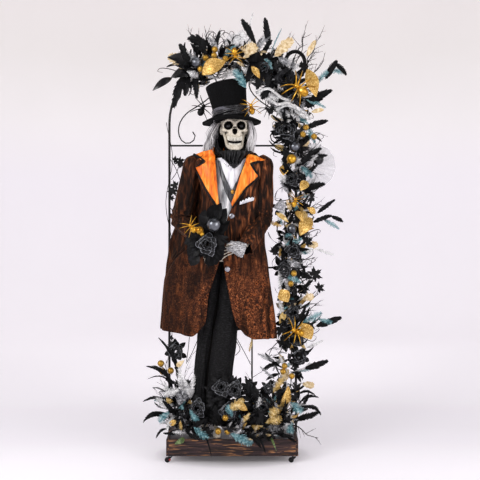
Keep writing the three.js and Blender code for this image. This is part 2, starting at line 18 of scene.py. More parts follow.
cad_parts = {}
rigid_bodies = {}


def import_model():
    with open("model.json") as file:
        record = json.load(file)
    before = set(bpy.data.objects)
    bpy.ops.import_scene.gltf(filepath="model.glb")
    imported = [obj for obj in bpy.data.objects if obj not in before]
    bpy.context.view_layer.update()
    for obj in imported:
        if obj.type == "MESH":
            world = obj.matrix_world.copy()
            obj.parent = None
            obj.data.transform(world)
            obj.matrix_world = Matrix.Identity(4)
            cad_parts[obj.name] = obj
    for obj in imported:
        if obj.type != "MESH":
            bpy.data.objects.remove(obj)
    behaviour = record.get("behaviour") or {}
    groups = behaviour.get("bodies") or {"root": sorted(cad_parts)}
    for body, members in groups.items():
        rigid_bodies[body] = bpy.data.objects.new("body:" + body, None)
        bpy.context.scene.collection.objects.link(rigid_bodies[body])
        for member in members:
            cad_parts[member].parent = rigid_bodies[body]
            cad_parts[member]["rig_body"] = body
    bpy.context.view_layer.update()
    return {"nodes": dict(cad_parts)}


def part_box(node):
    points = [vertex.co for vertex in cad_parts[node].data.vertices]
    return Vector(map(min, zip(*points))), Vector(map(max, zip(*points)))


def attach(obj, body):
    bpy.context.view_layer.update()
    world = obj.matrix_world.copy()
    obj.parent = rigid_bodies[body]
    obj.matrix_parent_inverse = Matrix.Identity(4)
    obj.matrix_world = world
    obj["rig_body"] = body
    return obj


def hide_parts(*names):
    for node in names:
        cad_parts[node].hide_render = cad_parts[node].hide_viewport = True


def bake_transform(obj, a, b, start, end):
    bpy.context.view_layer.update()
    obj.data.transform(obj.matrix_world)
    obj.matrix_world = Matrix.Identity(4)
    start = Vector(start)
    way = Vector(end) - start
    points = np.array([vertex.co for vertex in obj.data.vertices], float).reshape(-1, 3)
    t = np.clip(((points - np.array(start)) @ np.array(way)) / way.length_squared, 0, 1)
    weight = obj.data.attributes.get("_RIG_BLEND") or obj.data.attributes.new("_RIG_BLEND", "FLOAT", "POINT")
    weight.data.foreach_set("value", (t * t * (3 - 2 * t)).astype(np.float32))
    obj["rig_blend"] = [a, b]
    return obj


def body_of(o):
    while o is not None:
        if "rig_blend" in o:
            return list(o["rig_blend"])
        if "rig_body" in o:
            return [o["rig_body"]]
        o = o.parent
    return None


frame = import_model()

MM = 0.001
deck_low, deck_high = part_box("planter_deck")
ORIGIN = np.array([(deck_low.x + deck_high.x) / 2, (deck_low.y + deck_high.y) / 2, 0.0])
TAU = 2 * math.pi
TORSO_Y = -60.0
HEAD = np.array([7.0, -50.0, 1570.0])

# ---- camera --------------------------------------------------------------------------------------
CAMERA_AT, LENS = (36, -3320, 1035), 51.5
camera = bpy.data.objects.new("camera", bpy.data.cameras.new("camera"))
camera.data.lens, camera.data.sensor_width = LENS, 36
camera.location = np.array(CAMERA_AT) * MM + ORIGIN
camera.rotation_euler = (math.pi / 2, 0, 0)
bpy.context.scene.collection.objects.link(camera)
bpy.context.scene.camera = camera
bpy.context.scene.view_settings.view_transform = "Standard"


# ---- shapes: each returns points and faces -------------------------------------------------------
def vec(*xyz):
    return np.array(xyz, float)


def unit(v):
    v = np.asarray(v, float)
    return v / max(np.linalg.norm(v), 1e-9)


def grid(rows, cols, wrap=False):
    """Quads between rows of points; wrap joins each row's end to its start."""
    return [(r * cols + c, r * cols + (c + 1) % cols, (r + 1) * cols + (c + 1) % cols, (r + 1) * cols + c)
            for r in range(rows - 1) for c in range(cols if wrap else cols - 1)]


def surface(rows, wrap=True):
    """A surface through rows of points, each row closed on itself or, without wrap, open."""
    return np.vstack(rows), grid(len(rows), len(rows[0]), wrap)


def curve(points, count):
    """count points along a smooth curve through the given ones."""
    p = np.asarray(points, float)
    ends = np.vstack([2 * p[0] - p[1], p, 2 * p[-1] - p[-2]])
    u = np.linspace(0, len(p) - 1, count)
    i = np.minimum(u.astype(int), len(p) - 2)
    t = (u - i)[:, None]
    a, b, c, d = ends[i], ends[i + 1], ends[i + 2], ends[i + 3]
    return 0.5 * (2 * b + (c - a) * t + (2 * a - 5 * b + 4 * c - d) * t**2 + (3 * b - a - 3 * c + d) * t**3)


def eased(at, places, values, spread):
    """Values read off a polyline and rounded over its corners."""
    shifts = np.linspace(-spread, spread, 7)
    return sum(np.interp(np.asarray(at, float) + s, places, values) for s in shifts) / len(shifts)


def tube(points, radius, sides=6, flat=1.0, side_hint=None):
    """A capped tube; flat squeezes it across the second axis."""
    p = np.asarray(points, float)
    tangent = np.gradient(p, axis=0)
    tangent /= np.maximum(np.linalg.norm(tangent, axis=1), 1e-9)[:, None]
    radii = np.broadcast_to(np.asarray(radius, float), len(p))
    hint = side_hint if side_hint is not None else (vec(0, 0, 1) if abs(tangent[0][2]) < 0.9
        else vec(1, 0, 0))
    angle = np.arange(sides) * TAU / sides
    rings, normal = [], unit(np.asarray(hint, float))
    for i in range(len(p)):
        normal = unit(normal - tangent[i] * normal.dot(tangent[i]))
        across = np.cross(tangent[i], normal)
        rings.append(p[i] + radii[i] * (np.cos(angle)[:, None] * normal
            + flat * np.sin(angle)[:, None] * across))
    last = (len(p) - 1) * sides
    caps = [tuple(range(sides))[::-1], tuple(range(last, last + sides))]
    return np.vstack(rings), grid(len(p), sides, True) + caps


def ball(centre, radii, around=12, up=7, turn=None):
    """An ellipsoid; turn is a 3x3 rotation."""
    r = np.broadcast_to(np.asarray(radii, float), 3)
    lat = np.linspace(-1.45, 1.45, up)
    lon = np.arange(around) * TAU / around
    p = np.array([[math.cos(a) * math.cos(b), math.cos(a) * math.sin(b), math.sin(a)] for a in lat
        for b in lon]) * r
    if turn is not None:
        p = p @ np.asarray(turn).T
    last = (up - 1) * around
    caps = [tuple(range(around))[::-1], tuple(range(last, last + around))]
    return p + np.asarray(centre, float), grid(up, around, True) + caps


def axes(along, facing):
    """Three unit vectors: along, the side, and the facing made square to along."""
    d = unit(along)
    n = np.asarray(facing, float) - d * np.dot(facing, d)
    n = unit(n) if np.linalg.norm(n) > 1e-6 else unit(np.cross(d, [0.3, 0.5, 0.8]))
    return d, np.cross(d, n), n


def midrib(base, tip, face, bend, count):
    """Points curving from base to tip, the along, side and facing axes, and each point's share of the way."""
    base, tip = np.asarray(base, float), np.asarray(tip, float)
    d, side, n = axes(tip - base, face)
    t = np.linspace(0, 1, count)[:, None]
    line = base + (tip - base) * t + n * bend * np.linalg.norm(tip - base) * np.sin(math.pi * t)
    return line, d, side, n, t


def leaf(base, tip, width, face, bend=0.12, fold=0.3, rows=8, blunt=0.8):
    """A pointed leaf: two half blades folded along a curved midrib."""
    line, _, side, n, t = midrib(base, tip, face, bend, rows)
    half = width / 2 * np.sin(math.pi * np.clip(t, 0.02, 0.985) ** blunt) ** 0.85
    lift = n * (half * fold)
    points = np.stack([line - side * half + lift, line, line + side * half + lift], 1)
    return points.reshape(-1, 3), grid(rows, 3)


def feather(rng, base, tip, width, face, bend, wispy):
    """A quill with a ragged vane of barbs either side, standing apart from each other on a wispy one."""
    barbs, slant = 22, 0.9
    fray, gap = (0.6, 0.5) if wispy else (0.35, 0.0)
    line, d, side, n, _ = midrib(base, tip, face, bend, barbs + 2)
    quill = tube(line, np.linspace(1.1, 0.35, len(line)), 3)
    points, faces = [quill[0]], list(quill[1])
    count = len(quill[0])
    step = np.gradient(line, axis=0)
    for sign in (-1, 1):
        k = np.arange(1, barbs + 1)
        s = k / (barbs + 1)
        reach = width / 2 * np.sin(math.pi * s**0.75) ** 0.6 * (1 + fray * (rng.random(barbs) - 0.6))
        out = (sign * side + slant * d + n * (0.25 * rng.random((barbs, 1)) - 0.05)) * reach[:, None]
        a, b = line[k], line[k] + step[k] * (1.15 - 0.35 * gap)
        quad = np.stack([a, b, b + out * 1.04, a + gap * (b - a) + out * 0.94], 1).reshape(-1, 3)
        faces += [(count + 4 * i, count + 4 * i + 1, count + 4 * i + 2, count + 4 * i + 3)
            for i in range(barbs)]
        points.append(quad)
        count += len(quad)
    return np.vstack(points), faces


def rose(rng, centre, facing, radius):
    """Petals on a spiral, cupped at the heart and rolling back at the rim; also which faces are rim."""
    w = unit(facing)
    u = unit(np.cross(w, [0.2, 0.1, 1.0]))
    v = np.cross(w, u)
    petals, rows, cols = 16, 8, 9
    points, faces, rim = [], [], []
    for k in range(petals):
        f = (k + 1) / petals
        mid = k * 2.4 + 0.3 * rng.random()
        reach = radius * (0.12 + 0.88 * f**0.85)
        tall = radius * (0.72 - 0.5 * f)
        span = 1.15 - 0.42 * f
        t = np.array([0, 0.2, 0.4, 0.58, 0.74, 0.85, 0.93, 1.0])[:, None]
        c = np.linspace(-1, 1, cols)[None, :]
        up = t * (1 - 0.22 * c**2) * (1 + 0.1 * np.sin(5 * c + k))
        ang = mid + c * span * (0.55 + 0.45 * t)
        out = reach * (0.3 + 0.7 * up**1.3) * (1 - 0.1 * np.abs(c))
        high = (radius * 0.08 + tall * np.sin(up * 1.7) - f * radius * 0.2 * up**4
                + radius * 0.07 * up**3 * np.sin(6 * c + 2.1 * k))
        p = (np.asarray(centre, float) + (out * np.cos(ang))[..., None] * u
            + (out * np.sin(ang))[..., None] * v + (high + 0 * ang)[..., None] * w)
        faces += [tuple(i + k * rows * cols for i in q) for q in grid(rows, cols)]
        rim += [r == rows - 2 for r in range(rows - 1) for _ in range(cols - 1)]
        points.append(p.reshape(-1, 3))
    return np.vstack(points), faces, rim


def spider(centre, facing, head, size):
    """Two body lobes and eight jointed legs; head is the way it looks, facing is its back."""
    fwd, side, n = axes(head, facing)
    turn = np.stack([fwd, side, n], 1)
    shapes = [ball(centre - fwd * size * 0.15, (size * 0.19, size * 0.15, size * 0.14), 12, 8, turn),
              ball(centre + fwd * size * 0.11, (size * 0.1, size * 0.09, size * 0.08), 10, 6, turn)]
    for sign in (-1, 1):
        for k, lean in enumerate((0.95, 0.4, -0.25, -0.85)):
            way = unit(side * sign + fwd * lean)
            root = centre + fwd * size * (0.14 - 0.05 * k)
            knee, shin = root + way * size * 0.2 + n * size * 0.13, root + way * size * 0.36 + n * size * 0.1
            path = [root, knee, shin, root + way * size * (0.5 + 0.05 * (k % 2)) - n * size * 0.03]
            shapes.append(tube(curve(path, 9), np.linspace(0.028, 0.012, 9) * size, 5))
    return shapes


# Half the outline of a maple-like leaf: degrees from the tip, and how far it reaches there.
MAPLE = ((0, 1.0), (8, 0.7), (15, 0.78), (24, 0.46), (36, 0.6), (44, 0.68), (52, 0.96), (60, 0.64),
         (70, 0.68), (80, 0.38), (94, 0.5), (108, 0.72), (118, 0.46), (140, 0.34), (165, 0.2), (176, 0.08))


def star_leaf(centre, up, facing, size):
    """A maple-like leaf: toothed lobes round a middle, each lobe dished back a little."""
    w = unit(facing)
    u = unit(up - np.dot(up, w) * w)
    v = np.cross(w, u)
    turns = [(d, r) for d, r in MAPLE] + [(360 - d, r) for d, r in MAPLE[:0:-1]]
    rim = []
    for d, r in turns:
        way = math.cos(math.radians(d)) * u + math.sin(math.radians(d)) * v
        rim.append(np.asarray(centre, float) + size * 0.6 * r * way - size * 0.12 * r * r * w)
    points = np.vstack([[centre], rim])
    n = len(rim)
    return points, [(0, 1 + i, 1 + (i + 1) % n) for i in range(n)]


def twig(rng, base, tip, thick, forks):
    """A bare, crooked twig with forks, which fork again on a long one."""
    shapes = []
    base, tip = np.asarray(base, float), np.asarray(tip, float)
    length = np.linalg.norm(tip - base)
    d, side, n = axes(tip - base, rng.normal(size=3))
    knots = [base + (tip - base) * t + (side * rng.normal() + n * rng.normal()) * length * 0.035
             for t in np.linspace(0, 1, 6)]
    line = curve(knots, 12)
    shapes.append(tube(line, np.linspace(thick, thick * 0.3, 12), 4))
    for k in range(forks):
        at = line[int(2 + 9 * (k + rng.random()) / forks)]
        way = unit(d + (side * rng.normal() + n * rng.normal()) * 0.75)
        end = at + way * length * 0.42 * (0.5 + 0.6 * rng.random())
        mid = (at + end) / 2 + side * rng.normal() * 3
        shapes.append(tube(curve([at, mid, end], 5), np.linspace(thick * 0.5, thick * 0.18, 5), 4))
        if length > 90:
            tail = mid + unit(way + side * rng.normal() * 0.9) * length * 0.1
            shapes.append(tube([mid, tail], [thick * 0.3, thick * 0.15], 3))
    return shapes


def lathe(profile, sides, centre, turn=None, stretch=(1, 1)):
    """A profile of (radius, height) points spun round the upright axis, open at both ends."""
    p = np.asarray(profile, float)
    a = np.arange(sides) * TAU / sides
    pts = np.stack([p[:, :1] * np.cos(a) * stretch[0], p[:, :1] * np.sin(a) * stretch[1],
                    np.repeat(p[:, 1:], sides, 1)], 2).reshape(-1, 3)
    if turn is not None:
        pts = pts @ np.asarray(turn).T
    return pts + np.asarray(centre, float), grid(len(p), sides, True)


def spin(axis, degrees):
    """Rotation matrix about x, y or z."""
    a = math.radians(degrees)
    c, s = math.cos(a), math.sin(a)
    return {"x": np.array([[1, 0, 0], [0, c, -s], [0, s, c]]),
        "y": np.array([[c, 0, s], [0, 1, 0], [-s, 0, c]]), "z": np.array(
        [[c, -s, 0], [s, c, 0], [0, 0, 1]])}[axis]


class Soup:
    """Gathers shapes into the one mesh of a piece."""

    def __init__(self):
        self.points, self.faces, self.slots, self.count = [], [], [], 0

    def add(self, shape, slot=0):
        """Adds points and faces; slot is one material slot for all faces, or a list of one for each."""
        points, faces = shape[0], shape[1]
        self.points.append(np.asarray(points, float))
        self.faces += [[i + self.count for i in face] for face in faces]
        self.slots += list(slot) if np.ndim(slot) else [slot] * len(faces)
        self.count += len(points)
        return self

    def all(self, shapes, slot=0):
        for shape in shapes:
            self.add(shape, slot)
        return self

    def mesh(self, name, materials):
        mesh = bpy.data.meshes.new(name)
        mesh.from_pydata((np.vstack(self.points) * MM + ORIGIN).tolist(), [], self.faces)
        for material in materials:
            mesh.materials.append(material)
        mesh.polygons.foreach_set("material_index", self.slots)
        mesh.polygons.foreach_set("use_smooth", [True] * len(self.faces))
        mesh.update()
        obj = bpy.data.objects.new(name, mesh)
        bpy.context.scene.collection.objects.link(obj)
        return obj

    def piece(self, name, body, materials, slot, replaces=()):
        return finish_piece(self.mesh(name, materials), body, replaces)


def finish_piece(obj, body, replaces=()):
    """Gives a piece its body and hides the CAD nodes it replaces; a blended one has its bodies already."""
    if body:
        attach(obj, body)
    if replaces:
        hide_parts(*replaces)
    return obj


def modify(obj, kind, **settings):
    modifier = obj.modifiers.new(kind.lower(), kind)
    for key, value in settings.items():
        setattr(modifier, key, value)
    return modifier


def apply_modifiers(obj):
    """Bakes an object's modifiers into its mesh."""
    evaluated = obj.evaluated_get(bpy.context.evaluated_depsgraph_get())
    baked = bpy.data.meshes.new_from_object(evaluated)
    obj.modifiers.clear()
    obj.data = baked
    return obj


def thicken(obj, thick, lined=False):
    """Thickens a cloth surface about itself or, lined, to its inner side with the second material."""
    side = {"offset": -1, "material_offset": 1, "material_offset_rim": 0} if lined else {"offset": 0}
    modify(obj, "SOLIDIFY", thickness=thick * MM, **side)
    return apply_modifiers(obj)


# ---- finishes ------------------------------------------------------------------------------------
def rgb(code):
    """A display colour such as "#c08040" as the linear colour a shader takes."""
    parts = [int(code[i:i + 2], 16) / 255 for i in (1, 3, 5)]
    return [p / 12.92 if p <= 0.04045 else ((p + 0.055) / 1.055) ** 2.4 for p in parts] + [1.0]


class Finish:
    """A principled material with small procedural chains in object space, at real scale."""

    def __init__(self, name, **sockets):
        self.material = bpy.data.materials.new(name)
        self.material.use_nodes = True
        self.tree = self.material.node_tree
        self.shader = self.tree.nodes["Principled BSDF"]
        self.coords = self.tree.nodes.new("ShaderNodeTexCoord").outputs["Object"]
        for key, value in sockets.items():
            self.shader.inputs[key.replace("_", " ")].default_value = value

    def node(self, kind, inputs, **settings):
        node = self.tree.nodes.new("ShaderNode" + kind)
        for key, value in settings.items():
            setattr(node, key, value)
        for key, value in inputs.items():
            if isinstance(value, bpy.types.NodeSocket):
                self.tree.links.new(value, node.inputs[key])
            else:
                node.inputs[key].default_value = value
        return node

    def space(self, size_mm, stretch):
        scale = [1000 / size_mm / s for s in stretch]
        return self.node("Mapping", {"Vector": self.coords, "Scale": scale}).outputs["Vector"]

    def noise(self, size_mm, detail=3.0, stretch=(1, 1, 1), distortion=0.0):
        return self.node("TexNoise", {"Vector": self.space(size_mm, stretch), "Scale": 1.0, "Detail": detail,
                                      "Distortion": distortion}).outputs["Fac"]

    def cells(self, size_mm, feature="F1", stretch=(1, 1, 1)):
        return self.node("TexVoronoi", {"Vector": self.space(size_mm, stretch), "Scale": 1.0},
                         feature=feature).outputs["Distance"]

    def height(self):
        """Height above the floor in metres."""
        return self.node("SeparateXYZ", {"Vector": self.coords}).outputs["Z"]

    def remap(self, value, low, high, to_low=0.0, to_high=1.0):
        return self.node("MapRange", {"Value": value, "From Min": low, "From Max": high, "To Min": to_low,
                                      "To Max": to_high}).outputs["Result"]

    def math(self, operation, a, b=0.0):
        return self.node("Math", {0: a, 1: b}, operation=operation).outputs[0]

    def ramp(self, value, *stops):
        ramp = self.node("ValToRGB", {"Fac": value})
        points = ramp.color_ramp.elements
        while len(points) < len(stops):
            points.new(0.5)
        for point, (place, code) in zip(points, stops):
            point.position, point.color = place, rgb(code)
        return ramp.outputs["Color"]

    def mix(self, share, a, b):
        a, b = (rgb(c) if isinstance(c, str) else c for c in (a, b))
        return self.node("Mix", {0: share, 6: a, 7: b}, data_type="RGBA").outputs[2]

    def colour(self, value):
        self.tree.links.new(value, self.shader.inputs["Base Color"])
        return self

    def rough(self, value, low, high):
        self.tree.links.new(self.remap(value, 0.3, 0.7, low, high), self.shader.inputs["Roughness"])
        return self

    def bump(self, value, depth_mm, strength=0.6):
        node = self.node("Bump", {"Height": value, "Distance": depth_mm * MM, "Strength": strength})
        normal = self.shader.inputs["Normal"]
        if normal.is_linked:  # a second relief rides on the first
            self.tree.links.new(normal.links[0].from_socket, node.inputs["Normal"])
        self.tree.links.new(node.outputs["Normal"], normal)
        return self


def plain_finish(name, stops, size, rough, grain, depth, stretch=(1, 1, 1), gloss=0.5, **sockets):
    """Mottled colour, uneven gloss and a fine relief, for a moulded, painted or woven surface."""
    f = Finish(name, Specular_IOR_Level=gloss, **sockets)
    mottle = f.noise(size, 4.0, stretch)
    fine = f.noise(grain, 3.0, stretch)
    f.colour(f.ramp(mottle, *[(0.3 + 0.4 * i / (len(stops) - 1), code) for i, code in enumerate(stops)]))
    return f.rough(fine, *rough).bump(fine, depth).material


def wood_finish(name, along):
    """Rough board, stained almost black, with raw fibres showing in streaks along the grain."""
    stretch = (30, 1.6, 1.4) if along == "x" else (1.6, 30, 1.4)
    f = Finish(name, Specular_IOR_Level=0.25)
    fibres = f.noise(6, 5.0, tuple(s**0.85 for s in stretch), 0.6)
    streaks = f.noise(12, 5.0, tuple(s**0.8 * 0.6 for s in stretch), 1.2)
    stain = f.ramp(fibres, (0.35, "#171110"), (0.55, "#37292a"), (0.72, "#59443c"))
    raw = f.ramp(fibres, (0.3, "#46301f"), (0.6, "#9a6c47"), (0.8, "#c29468"))
    share = f.math("MULTIPLY", f.remap(streaks, 0.54, 0.6), f.remap(fibres, 0.4, 0.54))
    f.colour(f.mix(share, stain, raw))
    return f.rough(fibres, 0.6, 0.85).bump(fibres, 1.6, 0.8).material


def steel_finish(name, codes, rough, metal, depth=0.25):
    """Metal or metallic paint: three tones in soft clouds, and a fine relief."""
    f = Finish(name, Metallic=metal)
    cloud, fine = f.noise(34, 5.0), f.noise(2.2, 3.0)
    f.colour(f.ramp(cloud, (0.35, codes[0]), (0.62, codes[1]), (0.78, codes[2])))
    return f.rough(cloud, *rough).bump(fine, depth).material


def damask_finish():
    """The coat's cloth: rust pile over near-black, in streaks above and a crackled, dotted figure below."""
    f = Finish("rust_damask", Sheen_Weight=0.2, Sheen_Roughness=0.45, Specular_IOR_Level=0.12)
    f.shader.inputs["Sheen Tint"].default_value = rgb("#b8815c")
    streak = f.noise(15, 5.0, (1, 1, 5), 0.6)
    cloud = f.noise(95, 3.0, (1, 1, 1.8))
    swag = f.noise(70, 3.0, (1, 1, 3.4), 0.9)
    pile = f.ramp(streak, (0.34, "#0f0806"), (0.46, "#2b1911"), (0.58, "#603621"), (0.7, "#ab663d"))
    veins = f.cells(24, "DISTANCE_TO_EDGE")
    knots = f.cells(30, "F1")
    blotch = f.noise(11, 6.0, (1, 1, 1), 1.6)
    figure = f.ramp(blotch, (0.32, "#170c0a"), (0.45, "#472616"), (0.58, "#874a2b"), (0.7, "#cf834f"))
    figure = f.mix(f.remap(veins, 0.0, 0.07, 0.7, 0.0), figure, "#1a0e0a")
    figure = f.mix(f.remap(knots, 0.24, 0.29, 0.6, 0.0), figure, "#a8592c")
    figure = f.mix(f.remap(knots, 0.13, 0.18, 1.0, 0.0), figure, "#030202")
    # Painted shade at the figure's right: the figure gives way to the darker streaked pile there, and the
    # colour is darkened further.
    across = f.node("SeparateXYZ", {"Vector": f.coords}).outputs["X"]
    shade = f.remap(across, ORIGIN[0] - 0.27, ORIGIN[0] - 0.06, 0.55, 0.0)  # darker at the figure's right
    figure = f.mix(shade, figure, pile)
    low = f.remap(f.math("ADD", f.height(), f.remap(cloud, 0, 1, -0.2, 0.2)), 1.03, 0.8)
    cloth = f.mix(low, pile, figure)
    # Painted shade in the long folds, where the swag noise is low, and deeper painted shade at the figure's
    # right.
    dark = f.math("MAXIMUM", f.remap(swag, 0.4, 0.56, 0.85, 0.0), f.math("MULTIPLY", shade, 1.3))
    f.colour(f.mix(dark, cloth, "#0d0705"))
    relief = f.math("ADD", f.math("MULTIPLY", streak, 0.6), f.math("MULTIPLY", f.remap(veins, 0, 0.1), 0.4))
    f.rough(streak, 0.7, 0.92)
    f.bump(swag, 26, 0.55)
    return f.bump(relief, 1.6, 0.8).material


def satin_finish(name, codes, rough, streak_mm, weight=0.3, gloss=0.5):
    """Satin: long soft streaks, painted lighter as sheen in its colour, that also give it its gloss and its
    relief.
    """
    f = Finish(name, Sheen_Weight=weight, Specular_IOR_Level=gloss)
    folds = f.noise(streak_mm, 3.0, (1, 1, 6), 0.3)
    f.colour(f.ramp(folds, *[(0.34 + 0.36 * i / (len(codes) - 1), code) for i, code in enumerate(codes)]))
    return f.rough(folds, *rough).bump(folds, 1.6, 0.6).material


def bone_finish(name):
    """Cream bone with small pits and a few brown patches."""
    f = Finish(name, Specular_IOR_Level=0.35, Subsurface_Weight=0.0)
    patch, pits = f.noise(26, 5.0, (1, 1, 1), 0.8), f.noise(3.2, 4.0)
    clean = f.ramp(pits, (0.3, "#a99d88"), (0.52, "#d9d1c0"), (0.7, "#ece7db"))
    f.colour(f.mix(f.remap(patch, 0.52, 0.74, 0.0, 0.55), clean, "#8f7a5c"))
    return f.rough(pits, 0.45, 0.7).bump(pits, 0.7, 0.5).material


WOOD_X, WOOD_Y = wood_finish("stained_board_long", "x"), wood_finish("stained_board_end", "y")
# The deck is stained dark, and darkened further as painted shade under the flowers.
DECK = plain_finish("deck_stain_and_shade", ["#1f1a1c", "#383033", "#4a4145"], 60, (0.45, 0.7), 6, 0.5, (8, 1, 1))
BLACK_STEEL = steel_finish("black_steel", ("#0d0b0a", "#191513", "#3a2c22"), (0.4, 0.62), 0.35)
ZINC = steel_finish("zinc_steel", ("#8d9094", "#b4b7ba", "#7a7468"), (0.28, 0.5), 0.9)
RUBBER = plain_finish("caster_rubber", ["#0b0b0c", "#151516", "#222224"], 8, (0.5, 0.75), 1.5, 0.15,
    gloss=0.15)
CASTER_BLACK = plain_finish("caster_black", ["#0c0c0d", "#161617", "#26262a"], 9, (0.35, 0.55), 1.5, 0.15,
    gloss=0.2)
RED_PLASTIC = plain_finish("red_button", ["#7d1512", "#a81d18"], 6, (0.3, 0.45), 1.2, 0.1)
BONE = bone_finish("aged_bone")
SOCKET = plain_finish("socket_shadow", ["#030202", "#0a0706"], 6, (0.7, 0.9), 2, 0.3, gloss=0.1)
EYE = plain_finish("eye_glass", ["#020202", "#060607"], 7, (0.06, 0.1), 3, 0.02, gloss=0.45)
TEETH = plain_finish("teeth", ["#d5cdb9", "#efeadc", "#faf7ee"], 5, (0.3, 0.5), 2, 0.15)
FELT = plain_finish("hat_felt", ["#050505", "#0a0a0b", "#111113"], 5, (0.85, 1.0), 1.3, 0.5, gloss=0.1)
# The band's lighter streaks are painted sheen on its black satin.
BAND = plain_finish("hat_band", ["#09090b", "#1d1d20", "#5c5c64"], 16, (0.18, 0.34), 1.6, 0.15, (5, 5, 1))
HAIR = plain_finish("grey_hair", ["#c8c5c7", "#ebe9ea", "#ffffff"], 10, (0.45, 0.65), 2, 0.2, (1, 1, 8))
HAIR_DARK = plain_finish("grey_hair_dark", ["#565456", "#8d8a8c", "#b5b2b4"], 10, (0.45, 0.65), 2, 0.2,
    (1, 1, 8))
DAMASK = damask_finish()
LINING = plain_finish("coat_lining", ["#0a0605", "#170b07", "#241009"], 12, (0.6, 0.8), 2, 0.2, gloss=0.1)
ORANGE = satin_finish("orange_satin", ["#cb5511", "#f68220", "#ffb652"], (0.32, 0.5), 13, 0.0, 0.25)
PIPING = plain_finish("black_piping", ["#0a0a0b", "#151517", "#232326"], 8, (0.5, 0.75), 1.4, 0.4, gloss=0.12)
VEST = satin_finish("silver_satin", ["#6c6e72", "#c4c6c9", "#ffffff"], (0.2, 0.36), 16)
VEST_DARK = satin_finish("grey_satin_band", ["#1b1c1f", "#3a3c40", "#6b6e73"], (0.24, 0.4), 12)
SHIRT = satin_finish("white_satin", ["#bfbfc6", "#e9e9ee", "#fbfbfd"], (0.3, 0.5), 18)
SCARF = satin_finish("black_scarf", ["#010101", "#060607", "#242428"], (0.3, 0.5), 9, 0.0, 0.22)
LACE = plain_finish("scarf_lace", ["#08080a", "#2c2c30", "#707077"], 4, (0.5, 0.7), 1.2, 0.4, gloss=0.2)
TROUSER = plain_finish("black_cloth", ["#030303", "#0b0b0c", "#222224"], 11, (0.7, 0.95), 2, 0.7,
    (1, 1, 0.35), gloss=0.2)
GAUZE = plain_finish("cuff_gauze", ["#4e4d50", "#a3a2a4", "#ececec"], 8, (0.6, 0.9), 1.6, 0.6, (1, 1, 0.4))
BROOCH = steel_finish("gold_brooch", ("#9a6a25", "#d9a24a", "#f2d28a"), (0.2, 0.35), 0.9, 0.4)
BUTTON = steel_finish("silver_button", ("#8b8b92", "#c3c4cb", "#f0f1f5"), (0.12, 0.3), 0.85, 0.5)
GOLD = steel_finish("gold_paint", ("#96650f", "#e0ab35", "#fbdc7c"), (0.2, 0.36), 0.7, 0.5)
GOLD_LEAF = plain_finish("gold_glitter", ["#80571a", "#c4994a", "#f0d68e"], 5, (0.3, 0.55), 1.6, 0.8,
    Metallic=0.55)
GOLD_CREAM = plain_finish("gold_cream", ["#8f6f30", "#c4a35c", "#e8d4a0"], 12, (0.4, 0.6), 2, 0.5,
    Metallic=0.15)
BERRY = plain_finish("gold_berry", ["#5d400f", "#b08428", "#e6bf62"], 5, (0.25, 0.5), 1.5, 0.6, Metallic=0.6)
SILVER = steel_finish("silver_ball", ("#3b3d42", "#777a80", "#c3c6cb"), (0.14, 0.3), 0.9, 0.5)
ROSE = satin_finish("black_petal", ["#020203", "#070708", "#1a1b1e"], (0.26, 0.4), 12, 0.0, 0.26)
PETAL = satin_finish("dark_petal", ["#020203", "#060607", "#141518"], (0.42, 0.58), 14, 0.0, 0.1)
# Painted highlight on the petal rims of the plain black roses.
ROSE_RIM_HIGHLIGHT = plain_finish("petal_rim_highlight", ["#1a1b1e", "#46494e", "#9b9ea4"], 5, (0.3, 0.5), 1.5, 0.5)
ROSE_EDGE = plain_finish("petal_edge", ["#191a1d", "#4e5056", "#a3a7ad"], 5, (0.3, 0.5), 1.5, 0.5,
    Metallic=0.4)
GLITTER = plain_finish("black_glitter", ["#060607", "#101013", "#3a3b41"], 2.5, (0.25, 0.6), 1.2, 0.9,
    Metallic=0.3, gloss=0.3)
LEAF = plain_finish("black_leaf", ["#030303", "#09090a", "#1d1d20"], 12, (0.4, 0.6), 2.5, 0.5, gloss=0.16)
GLOSSY = plain_finish("black_gloss", ["#050506", "#0c0c0e", "#1a1a1d"], 14, (0.1, 0.25), 3, 0.2, gloss=0.35)
BLACK_FEATHER = plain_finish("black_feather", ["#020202", "#070708", "#15161a"], 9, (0.45, 0.7), 1.5, 0.4,
    gloss=0.14)
TEAL_FEATHER = plain_finish("teal_feather", ["#26474c", "#54828a", "#a0c0c1"], 10, (0.45, 0.65), 1.5, 0.5,
    gloss=0.25)
WHITE_FEATHER = plain_finish("white_feather", ["#8f9092", "#cdcdcd", "#f7f7f5"], 9, (0.6, 0.85), 1.5, 0.4)
CREAM_FEATHER = plain_finish("cream_feather", ["#a58556", "#d9c193", "#f1e5c9"], 12, (0.55, 0.8), 1.5, 0.4)
GREY_FEATHER = plain_finish("grey_feather", ["#3b3c3f", "#7f8083", "#c2c3c5"], 9, (0.5, 0.75), 1.5, 0.4,
    gloss=0.25)
BARK = plain_finish("bare_twig", ["#0a0807", "#1a1411", "#33261e"], 7, (0.6, 0.85), 1.4, 0.6, gloss=0.15)
GREEN = plain_finish("wired_green", ["#2b3a1e", "#53683a", "#7d8f57"], 9, (0.45, 0.65), 2, 0.3)
NET = plain_finish("white_net", ["#b2b2b6", "#e8e8ea"], 4, (0.6, 0.8), 1.5, 0.4, Alpha=0.52)
PALETTE = [LEAF, BLACK_FEATHER, TEAL_FEATHER, WHITE_FEATHER, CREAM_FEATHER, GREY_FEATHER, GOLD_LEAF,
    GOLD_CREAM, GLOSSY, GREEN, PETAL]
# Each T_ name is the place of that finish in the palette.
(T_LEAF, T_BLACK, T_TEAL, T_WHITE, T_CREAM, T_GREY, T_GOLD, T_PALE_GOLD, T_GLOSS, T_GREEN,
    T_SATIN) = range(len(PALETTE))


